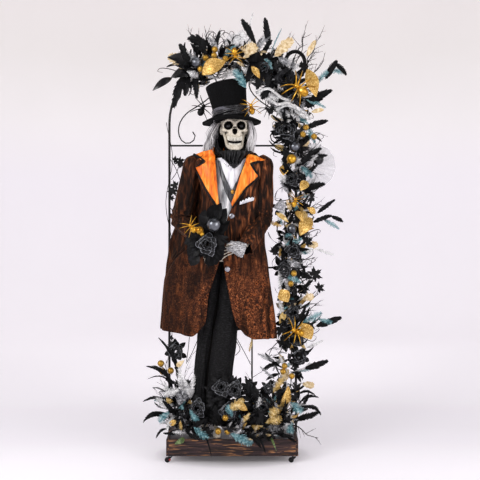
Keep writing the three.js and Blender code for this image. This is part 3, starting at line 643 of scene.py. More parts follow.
# ---- studio --------------------------------------------------------------------------------------
def studio():
    """A pale floor that sweeps up into walls all round, and large soft lights. The paper glows as painted
    light, with a painted shadow under the planter and painted light and shade graded over the floor and up
    the walls.
    """
    f = Finish("studio_paper", Roughness=0.9, Specular_IOR_Level=0.05)
    soft = f.noise(1600, 2.0)
    paper = f.ramp(soft, (0.3, "#e5e3e8"), (0.7, "#e9e7ec"))
    place = f.node("SeparateXYZ", {"Vector": f.coords}).outputs
    away = [f.math("POWER", f.math("MULTIPLY", f.math("SUBTRACT", place[i], ORIGIN[i]), 1 / reach), 2.0)
            for i, reach in ((0, 0.33), (1, 0.19))]
    # Painted shadow: under the planter the paper takes a darker colour and a dimmer glow.
    outside_painted_shadow = f.remap(f.math("ADD", *away), 0.4, 1.35, 0.0, 1.0)
    # Painted light and shade in the glow: lighter just in front of the planter, darker in a band behind it,
    # and graded by height up the walls.
    depth = f.remap(f.math("SUBTRACT", place["Y"], ORIGIN[1]), -1.0, 4.0)
    floor_painted_light_and_shade = f.ramp(depth, (0.14, "#d8d3d7"), (0.19, "#cac5c9"), (0.24, "#b1acb0"), (0.3, "#a7a2a6"),
        (0.37, "#b0abaf"), (0.43, "#c4bfc3"), (0.55, "#d7d2d6"), (0.8, "#e9e4e8"))
    walls = f.ramp(f.remap(place["Z"], 0.0, 5.0), (0.0, "#ebe6ea"), (0.2, "#e3dee2"), (0.38, "#dcd7db"),
        (0.54, "#d9d5cc"), (0.74, "#cbc6b5"), (0.9, "#d5cdc0"))
    glow = f.mix(outside_painted_shadow, "#6c6a6c", f.mix(f.remap(place["Z"], 0.0, 0.3), floor_painted_light_and_shade, walls))
    f.colour(f.mix(outside_painted_shadow, "#bdbabc", paper))
    f.tree.links.new(glow, f.shader.inputs["Emission Color"])
    f.shader.inputs["Emission Strength"].default_value = 0.43
    flat, sweep, wall = 4300.0, 2600.0, 6500.0
    profile = [(1, 0), (900, 0), (2500, 0), (flat, 0)]
    profile += [(flat + sweep * math.sin(a), sweep * (1 - math.cos(a)))
        for a in np.linspace(0.12, math.pi / 2, 12)]
    profile += [(flat + sweep, wall)]
    floor = Soup().add(lathe(profile, 96, (0, 0, 0))).mesh("studio_floor", [f.material])
    world = bpy.data.worlds.new("studio")
    bpy.context.scene.world = world
    world.use_nodes = True
    back = world.node_tree.nodes["Background"]
    back.inputs["Color"].default_value = rgb("#f4f1f7")
    back.inputs["Strength"].default_value = 0.3
    for name, place, size, watts, target in (("key", (-2300, -2700, 2500), 1.8, 66, (0, 0, 1200)),
            ("fill", (2600, -2500, 1700), 2.2, 33, (0, 0, 1000)),
            ("top", (0, -300, 4300), 2.4, 12, (0, 0, 800)), ("rim", (700, 2900, 2700), 2.4, 16,
            (0, 0, 1200))):
        light = bpy.data.lights.new(name, "AREA")
        light.shape, light.size, light.energy = "DISK", size, watts
        lamp = bpy.data.objects.new(name, light)
        lamp.location = vec(*place) * MM + ORIGIN
        lamp.rotation_euler = Vector(vec(*target) - vec(*place)).to_track_quat("-Z", "Y").to_euler()
        bpy.context.scene.collection.objects.link(lamp)


studio()


# ---- carried-over CAD nodes ----------------------------------------------------------------------
NODE_LOOKS = (  # by the first word found in a node's name: its finish, and how far its edges are rounded
    ("planter_deck", DECK, 1.0), ("end_board", WOOD_Y, 2.2), ("planter", WOOD_X, 2.2),
    ("caster_wheel", RUBBER, 1.0), ("caster_fork", CASTER_BLACK, 0.6), ("caster_plate", ZINC, 0.5),
    ("strap", ZINC, 0.5), ("trellis", BLACK_STEEL, 0.0), ("", BONE, 0.0))
for name, node in frame["nodes"].items():
    finish, bevel = next((look, edge) for word, look, edge in NODE_LOOKS if word in name)
    node.data.materials.clear()
    node.data.materials.append(finish)
    if bevel:
        modify(node, "BEVEL", width=bevel * MM, segments=2, limit_method="ANGLE", angle_limit=0.6)
    else:
        node.data.polygons.foreach_set("use_smooth", [True] * len(node.data.polygons))


# ---- head ----------------------------------------------------------------------------------------
FACE_TURN = spin("z", 4)


def on_head(*p):
    """A place on the head, given from the point between the eye sockets."""
    return HEAD + FACE_TURN @ vec(*p)


def on_arch(a, wide, back, deep, low, rise, turn=1.3):
    """A place on a curved row in the mouth, at angle a from its middle; the row rises towards its ends."""
    return on_head(wide * math.sin(a), back - deep * math.cos(a), low + rise * (a / turn) ** 2)


def voxel_skin(soup, name, material, voxel_mm, rounds):
    """Melts overlapping closed shapes into one skin."""
    obj = soup.mesh(name, [material])
    modify(obj, "REMESH", mode="VOXEL", voxel_size=voxel_mm * MM, use_smooth_shade=True)
    apply_modifiers(obj)
    modify(obj, "SMOOTH", factor=0.5, iterations=rounds)
    return apply_modifiers(obj)


def hollow(obj, centre, radii):
    """Pushes a skin inwards along the face's depth where an ellipsoid cuts it, and gives that part slot 1."""
    mesh = obj.data
    co = np.empty(len(mesh.vertices) * 3)
    mesh.vertices.foreach_get("co", co)
    co = (co.reshape(-1, 3) - ORIGIN) / MM
    local = (co - HEAD) @ FACE_TURN - centre
    q = local / radii
    cut = (q**2).sum(1) < 1.0
    flat = np.clip(1 - q[:, 0]**2 - q[:, 2]**2, 0, 1)
    local[cut, 1] = radii[1] * np.sqrt(flat[cut])
    moved = (local + centre) @ FACE_TURN.T + HEAD
    mesh.vertices.foreach_set("co", (moved * MM + ORIGIN).ravel())
    for polygon in mesh.polygons:
        if cut[list(polygon.vertices)].all():
            polygon.material_index = 1
    mesh.update()


def skull():
    """The skull in one skin, hollowed at the eyes, nose and cheeks, with its eyes and upper teeth."""
    s = Soup()

    def lump(x, y, z, *radii):
        s.add(ball(on_head(x * 0.95, y, z), radii, 20, 12, FACE_TURN))

    def bar(points, radius, count=10):
        s.add(tube(curve([on_head(x * 0.94, y, z) for x, y, z in points], count), radius, 10))

    lump(0, 8, 42, 69, 85, 66)
    lump(0, -52, 28, 52, 28, 30)
    lump(0, -56, -38, 31, 26, 30)
    lump(0, -60, -58, 31, 26, 13)
    lump(0, -30, -40, 40, 40, 24)
    for side in (-1, 1):
        lump(side * 46, -56, -19, 17, 15, 12)
        lump(side * 60, 6, -14, 12, 20, 22)
        lump(side * 22, -78, 19, 15, 9, 8)
        bar([(side * 8, -81, 15), (side * 30, -80, 23), (side * 50, -66, 17)], 7.5)
        bar([(side * 53, -62, 18), (side * 54, -60, 0), (side * 50, -60, -16)], 7)
        bar([(side * 46, -60, -18), (side * 60, -34, -16), (side * 62, -4, -12)], 6.5)
        bar([(side * 14, -78, 12), (side * 15, -80, -8), (side * 22, -76, -26), (side * 40, -66, -22)], 7)
        bar([(side * 20, -74, -28), (side * 26, -70, -48)], 9, 5)
    bar([(0, -82, 16), (0, -86, 2), (0, -90, -10)], (9, 8, 7, 6), 4)
    bar([(-26, -64, -58), (-19, -77, -58), (0, -84, -58), (19, -77, -58), (26, -64, -58)], 7)
    obj = voxel_skin(s, "skull_shell", BONE, 2.4, 4)
    obj.data.materials.append(SOCKET)
    for side in (-1, 1):
        hollow(obj, (side * 31, -90, -2), (23.5, 50, 21.5))
    hollow(obj, (0, -106, -28), (15.5, 48, 21))
    for side in (-1, 1):
        hollow(obj, (side * 43, -78, -50), (13, 40, 20))
    modify(obj, "SMOOTH", factor=0.5, iterations=2)
    apply_modifiers(obj)
    finish_piece(obj, "head", ["skull"])
    eyes = Soup()
    for side in (-1, 1):
        eyes.add(ball(on_head(side * 30.5, -58, -2), (23, 12, 21), 24, 14, FACE_TURN), 1)
        eyes.add(ball(on_head(side * 29, -67, -3), 11, 20, 12))
    eyes.piece("eyes", "head", [EYE, SOCKET], "bone")
    teeth = Soup()
    for k in range(14):
        a = (k - 6.5) * 0.205
        wide = 3.5 - 0.11 * abs(k - 6.5)
        turn = FACE_TURN @ spin("z", math.degrees(a))
        teeth.add(ball(on_arch(a, 33, -60, 35, -68, 8), (wide * 0.7, 3.6, 10.6), 10, 7, turn))
    # Painted shade behind the upper teeth: a dark tube that shows as dark gaps between them.
    shade_behind_teeth = [on_arch(a, 31.5, -60, 32.5, -71, 8) for a in np.linspace(-1.35, 1.35, 16)]
    teeth.add(tube(shade_behind_teeth, 5.6, 8, 0.45, vec(0, 0, 1)), 1)
    teeth.piece("upper_teeth", "head", [TEETH, SOCKET], "bone")


def jaw():
    """The lower jaw and its teeth, and the painted shade inside the mouth, which rides with it."""
    s = Soup()
    half = [(0, -86, -111), (12, -83, -110), (23, -68, -104), (32, -48, -93), (36, -28, -77), (41, -12, -52),
            (49, -2, -26)]
    for side in (-1, 1):
        path = [on_head(side * x, y, z) for x, y, z in half]
        s.add(tube(curve(path, 18), np.interp(np.linspace(0, 1, 18), (0, 0.3, 0.7, 1), (11, 9.5, 8, 7)), 12))
        s.add(ball(on_head(side * 50, -2, -25), 8, 12, 8))
        s.add(ball(on_head(side * 11, -88, -112), (10, 8.5, 9), 14, 8, FACE_TURN))
    s.add(ball(on_head(0, -80, -106), (18, 13, 13), 18, 10, FACE_TURN))
    ridge = [(-27, -58, -97), (-20, -75, -100), (0, -84, -101), (20, -75, -100), (27, -58, -97)]
    s.add(tube(curve([on_head(*p) for p in ridge], 14), 7.5, 10))
    obj = voxel_skin(s, "jaw_bone", BONE, 2.4, 3)
    finish_piece(obj, "jaw", ["jaw"])
    teeth = Soup()
    for k in range(12):
        a = (k - 5.5) * 0.215
        turn = FACE_TURN @ spin("z", math.degrees(a))
        teeth.add(ball(on_arch(a, 28, -58, 30, -93, 8, 1.2), (2.2, 3.1, 6), 10, 7, turn))
    teeth.piece("lower_teeth", "jaw", [TEETH], "bone")
    # Painted shade in the mouth: a dark tube along the grin and a flat dark ball behind it.
    mouth_shade_arc = [on_arch(a, 28, -56, 27, -83, 9) for a in np.linspace(-1.5, 1.5, 18)]
    mouth = Soup().add(tube(mouth_shade_arc, 6, 10)).add(ball(on_head(0, -52, -82), (26, 22, 8), 18, 8, FACE_TURN))
    mouth.piece("mouth_shadow", "jaw", [SOCKET], "bone")


def hat():
    """A tilted crown, its wrinkled band, and a brim that droops at the sides and rolls at its edge."""
    turn, base = spin("y", -10), vec(-3, -48, 1612)
    level = spin("y", -1)
    crown = [(70, -12), (84, -12), (83, 40), (84, 60), (87, 90), (92, 125), (98, 158), (97.5, 164),
        (94, 166.5), (60, 165), (2, 163)]
    s = Soup().add(lathe(crown, 64, base, turn, (1, 1.12)))
    rows, around = 14, 96
    a = np.arange(around) * TAU / around
    points = []
    for k, t in enumerate(np.r_[np.linspace(0, 1, rows - 4), 1.0, 0.985, 0.93, 0.0]):
        r = 78 + 62 * t
        front = np.clip(-np.sin(a), 0, 1)
        droop = -13 * t**1.4 * np.abs(np.cos(a))**1.5 - 17 * t**1.3 * front**1.5 + 2.0 * np.sin(3 * a + 1) * t
        under = (-5.0, -9.0, -8.0, -11.0)[k - rows + 4] if k >= rows - 4 else 0
        h = 10 - 12 * t + droop + under
        points.append(np.stack([-1 + r * np.cos(a), r * 1.08 * np.sin(a), h], 1) @ level.T + base)
    s.add(surface(points))
    s.piece("hat_felt", "head", [FELT], "hat_felt", ["top_hat"])
    band, rows = [], 16
    for k in range(rows):
        h = 1 + 49 * k / (rows - 1)
        wrinkle = (2.8 * np.sin(k * 1.1 + 0.7 * np.sin(2 * a) + 0.3 * np.sin(5 * a))
                   + 0.5 * np.sin(9 * a + k * 0.5))
        r = 85.5 + 3.2 * math.sin(math.pi * k / (rows - 1)) ** 0.5 + wrinkle * (0 < k < rows - 1)
        lift = 3.0 * np.sin(2 * a + 1) * k / rows
        band.append(np.stack([r * np.cos(a), r * 1.12 * np.sin(a), h + lift], 1) @ turn.T + base)
    Soup().add(surface(band)).piece("hat_band", "head", [BAND], "black_satin")


def hair():
    """Long straight strands from under the brim, some dark, shorter at the nape and flared at the right."""
    rng = np.random.default_rng(11)
    s, locks = Soup(), 620
    for _ in range(locks):
        a = math.radians(rng.uniform(-18, 198))  # 0 is the figure's left, 90 the nape, 180 its right
        side = abs(math.cos(a))
        flared = math.cos(a) < 0
        root_r = rng.uniform(64, 84)
        root = vec(HEAD[0] + root_r * math.cos(a), HEAD[1] + 74 * math.sin(a) + 4, rng.uniform(1592, 1612))
        end_z = rng.uniform(1448, 1480) - (9 if flared else 6) * side + (1 - side) * rng.uniform(0, 24)
        spread = (rng.uniform(30, 66) if flared else 2) * side + rng.normal() * 6
        belly = (34 if flared else 10) * side + rng.normal() * 5
        way = vec(math.cos(a), math.sin(a) * 0.85, 0)
        mid = root + way * (belly + 4) + vec(rng.normal() * 3, -7 * side, -62)
        drift = vec(rng.normal() * 5 - (10 if flared else 0), -12 * side + rng.normal() * 5, 0)
        tip = root + way * vec(1, 0.2, 1) * spread + drift
        tip[2] = end_z
        if side < 0.75:  # behind, the tips stay in front of the trellis
            tip[1] = min(tip[1], 42)
        line = curve([root, mid, (mid + tip) / 2 + way * rng.normal() * 4, tip], 9)
        width = rng.uniform(1.5, 2.7)
        taper = np.array([0.8, 1, 1, 1, 1, 0.95, 0.85, 0.65, 0.3])
        s.add(tube(line, width * taper, 4), int(rng.random() < 0.16))
    cap = []
    a = np.radians(np.linspace(-14, 194, 30))
    for z, r in ((1618, 66), (1590, 72), (1556, 74), (1520, 72), (1490, 70)):
        cap.append(np.stack([HEAD[0] + r * np.cos(a), -46 + r * 1.08 * np.sin(a), np.full(30, z)], 1))
    s.add(surface(cap, False), 2)
    s.add(ball((7, -24, 1476), (47, 32, 44), 20, 12), 2)  # the scarf's end tucked up behind the jaw
    s.piece("hair", "head", [HAIR, HAIR_DARK, SCARF], "hair", ["wig"])


# ---- clothes -------------------------------------------------------------------------------------
# The coat's levels: height, the two front edges, each side's reach in front and behind, front and back depth.
COAT = np.array([(560, -150, 40, -338, -338, 204, 204, -152, 30),
    (600, -138, 34, -337, -337, 202, 202, -152, 31), (640, -126, 20, -334, -336, 197, 198, -152, 32),
    (700, -117, 2, -330, -333, 190, 191, -150, 33), (772, -112, -12, -324, -328, 179, 181, -149, 34),
    (856, -84, -30, -316, -322, 168, 170, -148, 34), (926, -62, -40, -286, -318, 158, 164, -146, 34),
    (956, -52, -44, -262, -312, 154, 160, -144, 34), (1000, -52, -40, -206, -306, 140, 156, -142, 34),
    (1060, -50, -36, -166, -296, 118, 154, -138, 34), (1122, -54, -28, -150, -268, 112, 148, -140, 36),
    (1200, -70, 4, -142, -214, 116, 140, -146, 38), (1300, -78, 40, -148, -174, 122, 138, -146, 36),
    (1350, -84, 58, -164, -172, 132, 140, -142, 34), (1390, -88, 74, -178, -182, 148, 152, -134, 26),
    (1422, -90, 82, -168, -170, 140, 142, -122, 12), (1446, -90, 84, -104, -106, 98, 100, -104, -6)])
COAT_COLUMNS, COAT_ROWS = 190, 120


def coat_section(z):
    """The coat's outline at a height, from one front edge round the back to the other."""
    left, right, fl, bl, fr, br, front, back = (eased(z, COAT[:, 0], COAT[:, k], 18) for k in range(1, 9))
    mid = (left + right) / 2
    reach = back - front
    return curve([(left, front + 1), (left + 0.4 * (fl - left), front + 3),
        (fl * 0.93 + left * 0.07, front + 0.17 * reach), (fl, front + 0.46 * reach),
        (0.45 * fl + 0.55 * bl, front + 0.66 * reach), (bl, front + 0.82 * reach),
        (bl * 0.8, back - 0.02 * reach), (mid + 0.35 * (bl - mid), back), (mid, back + 1),
        (mid + 0.4 * (br - mid), back), (br * 0.84, back - 0.03 * reach), (br, front + 0.8 * reach),
        (0.5 * fr + 0.5 * br, front + 0.62 * reach), (fr, front + 0.42 * reach),
        (fr * 0.92 + right * 0.08, front + 0.15 * reach), (right + 0.4 * (fr - right), front + 2.5),
        (right, front)], COAT_COLUMNS)


def coat_body():
    """The coat below its collar: outlines from top to hem, pushed in and out into long pleats."""
    s_at = np.linspace(0, 1, COAT_COLUMNS)
    hem = eased(s_at, [0, 0.015, 0.0375, 0.0625, 0.1, 0.13, 0.2, 0.3, 0.5, 0.7, 0.8, 0.88, 0.94, 0.975, 1],
                [652, 610, 585, 592, 607, 619, 618, 610, 598, 590, 582, 573, 576, 592, 640], 0.006)
    top, rows, steps = float(COAT[-1, 0]), [], 4
    shift = np.cumsum(0.4 + 0.6 * np.abs(np.sin(s_at * 9)))
    shift /= shift[-1]
    for t in np.linspace(0, 1, COAT_ROWS):
        z = top + (hem - top) * t
        levels = np.linspace(z.min(), z.max(), steps + 1)
        sections = np.stack([coat_section(level) for level in levels])
        share = np.clip((z - levels[0]) / max(levels[-1] - levels[0], 1e-6), 0, 1) * steps
        low = np.minimum(share.astype(int), steps - 1)
        f = (share - low)[:, None]
        col = np.arange(COAT_COLUMNS)
        xy = sections[low, col] * (1 - f) + sections[low + 1, col] * f
        tangent = np.gradient(xy, axis=0)
        normal = np.stack([-tangent[:, 1], tangent[:, 0]], 1)
        normal /= np.maximum(np.linalg.norm(normal, axis=1), 1e-9)[:, None]
        normal = -normal if normal[0, 1] > 0 else normal
        loose = np.clip((1180 - z) / 600, 0.0, 1.0)
        edge = np.clip(np.minimum(s_at, 1 - s_at) / 0.05, 0, 1)
        folds = (np.sin(TAU * 8.5 * shift + 1.1 + 0.5 * t) + 0.55 * np.sin(TAU * 19 * shift + 2 * t)
                 + 0.35 * np.sin(TAU * 31 * shift + 5 * t))
        depth = (2.4 + 8.5 * loose) * (0.2 + 0.8 * edge)
        chest = 2.2 * np.sin(z / 23 + 7 * s_at) * np.clip((z - 900) / 200, 0, 1) * edge
        xy = xy + normal * (folds * depth - 4 * loose + chest)[:, None]
        xy[:, 1] = np.minimum(xy[:, 1], 41)  # the back lies against the trellis
        rows.append(np.column_stack([xy, z]))
    cloth = Soup().add(surface(rows, False))
    obj = cloth.mesh("coat_body_cloth", [DAMASK, LINING])
    thicken(obj, 3.2, lined=True)
    return finish_piece(obj, "display", ["coat_body"])


def front_of(obj):
    """Returns a function giving the y where a line of sight meets the piece from the front, or None."""
    tree = BVHTree.FromObject(obj, bpy.context.evaluated_depsgraph_get())
    before = -900  # well in front of the figure

    def hit(x, z):
        at, *_ = tree.ray_cast(Vector(vec(x, before, z) * MM + ORIGIN), Vector((0, 1, 0)))
        return None if at is None else (at.y - ORIGIN[1]) / MM
    return hit


def outline(corners, step, closed=True):
    """Points every step or so along a line through corners."""
    out = []
    for a, b in zip(corners, corners[1:] + corners[:closed]):
        n = max(1, int(math.dist(a, b) / step))
        out += [(a[0] + (b[0] - a[0]) * i / n, a[1] + (b[1] - a[1]) * i / n) for i in range(n)]
    return out if closed else out + [corners[-1]]


def inside(x, z, ring):
    """Whether a point is within a closed ring of points."""
    hit = False
    for (ax, az), (bx, bz) in zip(ring, ring[1:] + ring[:1]):
        if (az > z) != (bz > z) and x < (bx - ax) * (z - az) / (bz - az) + ax:
            hit = not hit
    return hit


def panel(name, corners, depth, material, step=7.0, soften=0):
    """A satin panel cut to an outline in the front view, laid at depth(x, z) and smoothed soften times."""
    ring = outline(corners, step)
    xs, zs = [p[0] for p in ring], [p[1] for p in ring]
    inner = [(x, z) for x in np.arange(min(xs) + step / 2, max(xs), step)
             for z in np.arange(min(zs) + step / 2, max(zs), step)
             if inside(x, z, ring) and min(math.dist((x, z), p) for p in ring) > step * 0.55]
    points = [Vector(p) for p in ring + inner]
    edges = [(i, (i + 1) % len(ring)) for i in range(len(ring))]
    verts, _, faces, *_ = delaunay_2d_cdt(points, edges, [], 1, 1e-4)
    placed = np.array([(v.x, depth(v.x, v.y), v.y) for v in verts])
    beside = [set() for _ in verts]
    for f in faces:
        for i in f:
            beside[i].update(f)
    for _ in range(soften):
        placed[:, 1] = [placed[list(near), 1].mean() if near else placed[i, 1]
                        for i, near in enumerate(beside)]
    obj = Soup().add((placed, [tuple(f) for f in faces])).mesh(name, [material])
    thicken(obj, 2.5)
    return finish_piece(obj, "display")


COAT_FRONT = -146.0  # where the coat's front is taken to be if a line of sight misses it


def lapels(coat):
    """Peaked satin lapels laid on the coat and edged in black, a pocket square and a bit of ribbon."""
    on_coat = front_of(coat)
    turns_back, shoulder = -45, -112.0  # behind the first, the cloth curves back over the shoulder

    def depth_for(inner_edge, lift):
        def depth(x, z):
            for reach in (0, 4, 8, 14, 22, 32, 46, 64):
                for way in (inner_edge, -inner_edge):
                    y = on_coat(x + way * reach, z)
                    if y is not None and y < turns_back:
                        return y - lift + (0.3 * reach if way != inner_edge else 0)
            return shoulder - lift
        return depth

    right_face = [(-182, 1437), (-140, 1450), (-94, 1456), (-80, 1425), (-74, 1350), (-67, 1268),
        (-61, 1204), (-68, 1188), (-90, 1226), (-119, 1273), (-146, 1325), (-170, 1372), (-130, 1396)]
    left_face = [(70, 1437), (112, 1428), (153, 1409), (120, 1401), (90, 1388), (104, 1360), (119, 1331),
        (92, 1303), (64, 1278), (28, 1228), (0, 1188), (-5, 1204), (12, 1248), (37, 1332), (58, 1388)]
    for name, corners, way in (("right", right_face, -1), ("left", left_face, 1)):
        panel(f"lapel_{name}", corners, depth_for(way, 9), ORANGE, soften=2)
    edges = {"right": [(-184, 1438), (-156, 1424), (-127, 1397), (-150, 1386), (-174, 1373), (-148, 1322),
        (-121, 1270), (-93, 1224), (-70, 1184)],
        "left": [(156, 1409), (120, 1398), (87, 1387), (106, 1357), (123, 1330), (93, 1299), (66, 1275),
        (31, 1225), (1, 1183)]}
    for name, corners in edges.items():
        way = -1 if name == "right" else 1
        place = depth_for(way, 10.5)
        line = np.array([(x, place(x, z), z) for x, z in outline(corners, 6, closed=False)])
        for _ in range(4):
            line[1:-1, 1] = (line[:-2, 1] + line[1:-1, 1] * 2 + line[2:, 1]) / 4
        s = Soup().add(tube(line, 6.5, 8, 0.34, vec(1, 0, 1) if way < 0 else vec(-1, 0, 1)))
        s.piece(f"lapel_piping_{name}", "display", [PIPING], "black_cloth")
    rng = np.random.default_rng(5)
    pocket, cols = [], 15
    for k in range(cols):
        t = k / (cols - 1)
        x, z = 36 + 66 * t, 1203 + 22 * t
        folds = (-2, -6, 5), (-1, 1, 9), (1, 7, 12), (3, 15 - 9 * abs(t - 0.55), 9)
        for row, (dx, dz, lift) in enumerate(folds):
            ruffle = 5.0 * math.sin(k * 2.1 + row) + 1.5 * rng.normal()
            pocket.append((x + dx, (on_coat(x, 1210) or COAT_FRONT) - lift - ruffle * 0.6,
                z + dz + ruffle * 0.8 * (row > 0)))
    square = Soup().add((pocket, grid(cols, 4))).piece("pocket_square", "display", [SHIRT], "silver_cloth")
    thread = [(x, (on_coat(x, z) or COAT_FRONT) - 3, z) for x, z in ((-103, 1180), (-98, 1150))]
    red = Soup().add(tube(thread, (3, 2), 6, 0.4, vec(1, 0, 0)))
    red.piece("chest_ribbon", "display", [ORANGE], "silver_cloth")


def collar():
    """The turned-down collar round the back of the neck, meeting both lapels."""
    rows, around = 8, 60
    a = np.radians(np.linspace(-92, 92, around))  # 0 is the nape
    points = []
    for k in range(rows):
        t = k / (rows - 1)
        r = 70 + 5 * t + 40 * max(0, t - 0.4) ** 1.1
        z = 1440 + 42 * math.sin(math.pi * min(1, t * 1.25)) ** 0.8 - 22 * max(0, t - 0.55)
        fall = 18 * np.clip((np.abs(a) - 1.2) / 1.0, 0, 1)
        points.append(np.stack([-6 + r * 1.18 * np.sin(a), -52 + r * 0.86 * np.cos(a), z - fall + 0 * a], 1))
    obj = Soup().add(surface(points, False)).mesh("coat_collar", [ORANGE])
    thicken(obj, 2.5)
    finish_piece(obj, "display")


# Each arm's shoulder, elbow and wrist.
ARMS = {"right": (vec(-186, -50, 1396), vec(-244, -62, 1122), vec(-122, -196, 1024)),
        "left": (vec(146, -50, 1396), vec(143, -62, 1126), vec(62, -200, 1004))}


def sleeve(side):
    """One sleeve from shoulder seam to cuff, bending between the two arm bodies, creased inside the elbow."""
    shoulder, elbow, wrist = ARMS[side]
    down, fore = unit(elbow - shoulder), unit(wrist - elbow)
    rows, cols, blend_reach = 110, 64, 55
    path = curve([shoulder - down * 46, shoulder, shoulder + down * 90, shoulder + down * 180,
        elbow - down * 42, elbow + (fore - down) * 9, elbow + fore * 46, elbow + fore * 110,
        wrist - fore * 14, wrist + fore * 10], rows)
    t = np.linspace(0, 1, rows)
    along = t[:, None]
    full = 51 if side == "right" else 48
    radius = eased(t, [0, 0.02, 0.06, 0.12, 0.3, 0.47, 0.58, 0.75, 0.95, 1],
        [3, 18, 36, 47, 48, full, full - 4, 41, 38, 39], 0.012)
    radius[0] = 2.0
    points, _ = tube(path, radius, cols, 1.0, vec(1, 0, 0))
    rings = points.reshape(rows, cols, 3)
    a = np.arange(cols) * TAU / cols
    centre = path[:, None]
    out = rings - centre
    length = np.maximum(np.linalg.norm(out, axis=2, keepdims=True), 1e-6)
    bend = np.exp(-((t - 0.52) / 0.1) ** 2)[:, None]
    creases = 4.2 * np.sin(along * 92 + 1.7 * np.sin(2 * a)) * bend
    drags = ((1.5 + 2.6 * along) * np.sin(5 * a + 9 * along)
             + 2.0 * np.sin(9 * a + 1.3 - 16 * along))
    rings = centre + out / length * (length + (creases + drags)[..., None] * np.clip(length / 40, 0, 1))
    cloth = Soup().add(surface(rings))
    obj = cloth.mesh(f"coat_sleeve_{side}", [DAMASK, LINING])
    thicken(obj, 3, lined=True)
    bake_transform(obj, f"upper_arm_{side}", f"forearm_{side}", (elbow - down * blend_reach) * MM + ORIGIN,
             (elbow + fore * blend_reach) * MM + ORIGIN)
    finish_piece(obj, None, [f"coat_upper_sleeve_{side}", f"coat_forearm_sleeve_{side}"])


def bead_ring(soup, centre, count, wide, high, radius):
    """Small beads on an upright ring."""
    for k in range(count):
        a = k * TAU / count
        soup.add(ball(centre + vec(wide * math.cos(a), 0, high * math.sin(a)), radius, 8, 5))


def vest_and_shirt():
    """The shirt front, the vest's two halves with their lapels, and the brooch."""
    half_width = 96.0

    def chest(lift):
        def depth(x, z):
            mid = 3 + (z - 1440) * 0.08
            sunk = 9 * min(1, max(0, (1190 - z) / 60))
            return (TORSO_Y - (80 + lift - sunk) * math.sqrt(max(0.05, 1 - ((x - mid) / half_width) ** 2))
                    + 1.2 * math.sin(z / 9 + x / 15))
        return depth

    panel("shirt_front", [(-72, 1418), (72, 1418), (52, 1330), (4, 1252), (-6, 1252), (-56, 1330)],
        chest(-5), SHIRT, 8)
    panel("vest_right", [(-84, 1412), (-62, 1404), (-46, 1352), (-26, 1308), (-3, 1262), (0, 1180),
        (2, 1096), (-70, 1096), (-80, 1200)], chest(-2), VEST, 8)
    panel("vest_left", [(78, 1412), (64, 1402), (44, 1352), (22, 1308), (-1, 1262), (-2, 1180), (0, 1096),
        (66, 1096), (74, 1200)], chest(-2), VEST, 8)
    panel("vest_lapel_right", [(-68, 1408), (-58, 1404), (-44, 1354), (-24, 1308), (-2, 1264), (14, 1216),
        (8, 1176), (-12, 1214), (-34, 1262), (-54, 1330)], chest(1.5), VEST_DARK, 6)
    panel("vest_lapel_left", [(66, 1406), (58, 1398), (40, 1352), (20, 1308), (0, 1268), (6, 1250),
        (30, 1286), (52, 1330)], chest(0.5), VEST_DARK, 6)
    pin = Soup()
    at = vec(1, chest(3)(1, 1258) - 2, 1258)
    pin.add(ball(at, (6, 3, 9), 12, 8))
    bead_ring(pin, at + vec(0, 0.5, 0), 8, 6.5, 9, 2.4)
    pin.piece("brooch", "display", [BROOCH], "silver_cloth")


def button(name, x, z, coat_hit):
    """A domed metal button with six beads on its face, laid on the coat."""
    y = (coat_hit(x, z) or COAT_FRONT) - 4
    dome = [(0.5, 6), (7.5, 5.6), (11.5, 4), (13, 0.5), (11.4, -2), (0.5, -2.5)]
    s = Soup().add(lathe(dome, 24, (x, y, z), spin("x", 90)))
    bead_ring(s, vec(x, y - 5, z), 6, 7, 7, 2.6)
    s.piece(name, "display", [BUTTON], "silver_cloth")


def scarf():
    """Black cloth wound high round the neck, and a ruffled fall with a lace tip down the shirt."""
    rng = np.random.default_rng(3)
    around, rows, points = 110, 24, []
    a = np.arange(around) * TAU / around
    back = 0.5 + 0.5 * np.sin(a)  # 1 behind the neck, 0 at the throat
    for k in range(rows):
        t = k / (rows - 1)
        low, high = 1388 - 6 * back, 1436 + 92 * np.clip(back * 1.9 - 0.1, 0, 1) ** 0.8
        z = low + (high - low) * t
        plump = math.sin(math.pi * t) ** 0.5
        ruffle = 3.2 * np.sin(13 * a + 3 * math.sin(5 * t)) + 4.2 * np.sin(t * 24 + 2 * np.sin(4 * a))
        rx, ry = 66 + 14 * plump + ruffle * 0.7, 52 + 12 * plump + ruffle * 0.7
        points.append(np.stack([-2 + rx * np.cos(a), -50 + ry * np.sin(a), z], 1))
    obj = Soup().add(surface(points)).mesh("neck_scarf", [SCARF])
    thicken(obj, 1.2)
    finish_piece(obj, "display", ["cravat"])
    fall, throat = Soup(), 7
    layers = (1446, 1366, 58, -156), (1450, 1382, 66, -150), (1452, 1396, 74, -144)
    for layer, (top, low, wide, y) in enumerate(layers):
        cols, rows, pts = 40, 14, []
        for r in range(rows):
            t = r / (rows - 1)
            for c in range(cols):
                u = c / (cols - 1) * 2 - 1
                half = wide * (1 - t) ** 0.42 + 9
                x = throat + u * half + 2 * math.sin(9 * t + layer)
                z = (top + (low - top) * t * (1 - 0.35 * u * u) - 4 * abs(u)
                     + 3.5 * t * math.sin(u * 21 + 2 * layer))
                ripple = 9 * math.sin(u * 17 + layer * 1.7 + 3 * t) * (0.5 + 0.7 * t)
                pts.append((x, y - ripple + 20 * u * u + 6 * t, z))
        lace = [int(layer == 0 and r >= rows - 4) for r in range(rows - 1) for _ in range(cols - 1)]
        fall.add((pts, grid(rows, cols)), lace)
    for _ in range(60):  # the lace tip's beads
        x, z = throat + rng.normal() * 15, 1372 + abs(rng.normal()) * 14
        fall.add(ball((x, -162 + rng.normal() * 2, z), 1.7, 6, 4), 1)
    cravat = fall.piece("cravat_fall", "display", [SCARF, LACE], "black_satin")


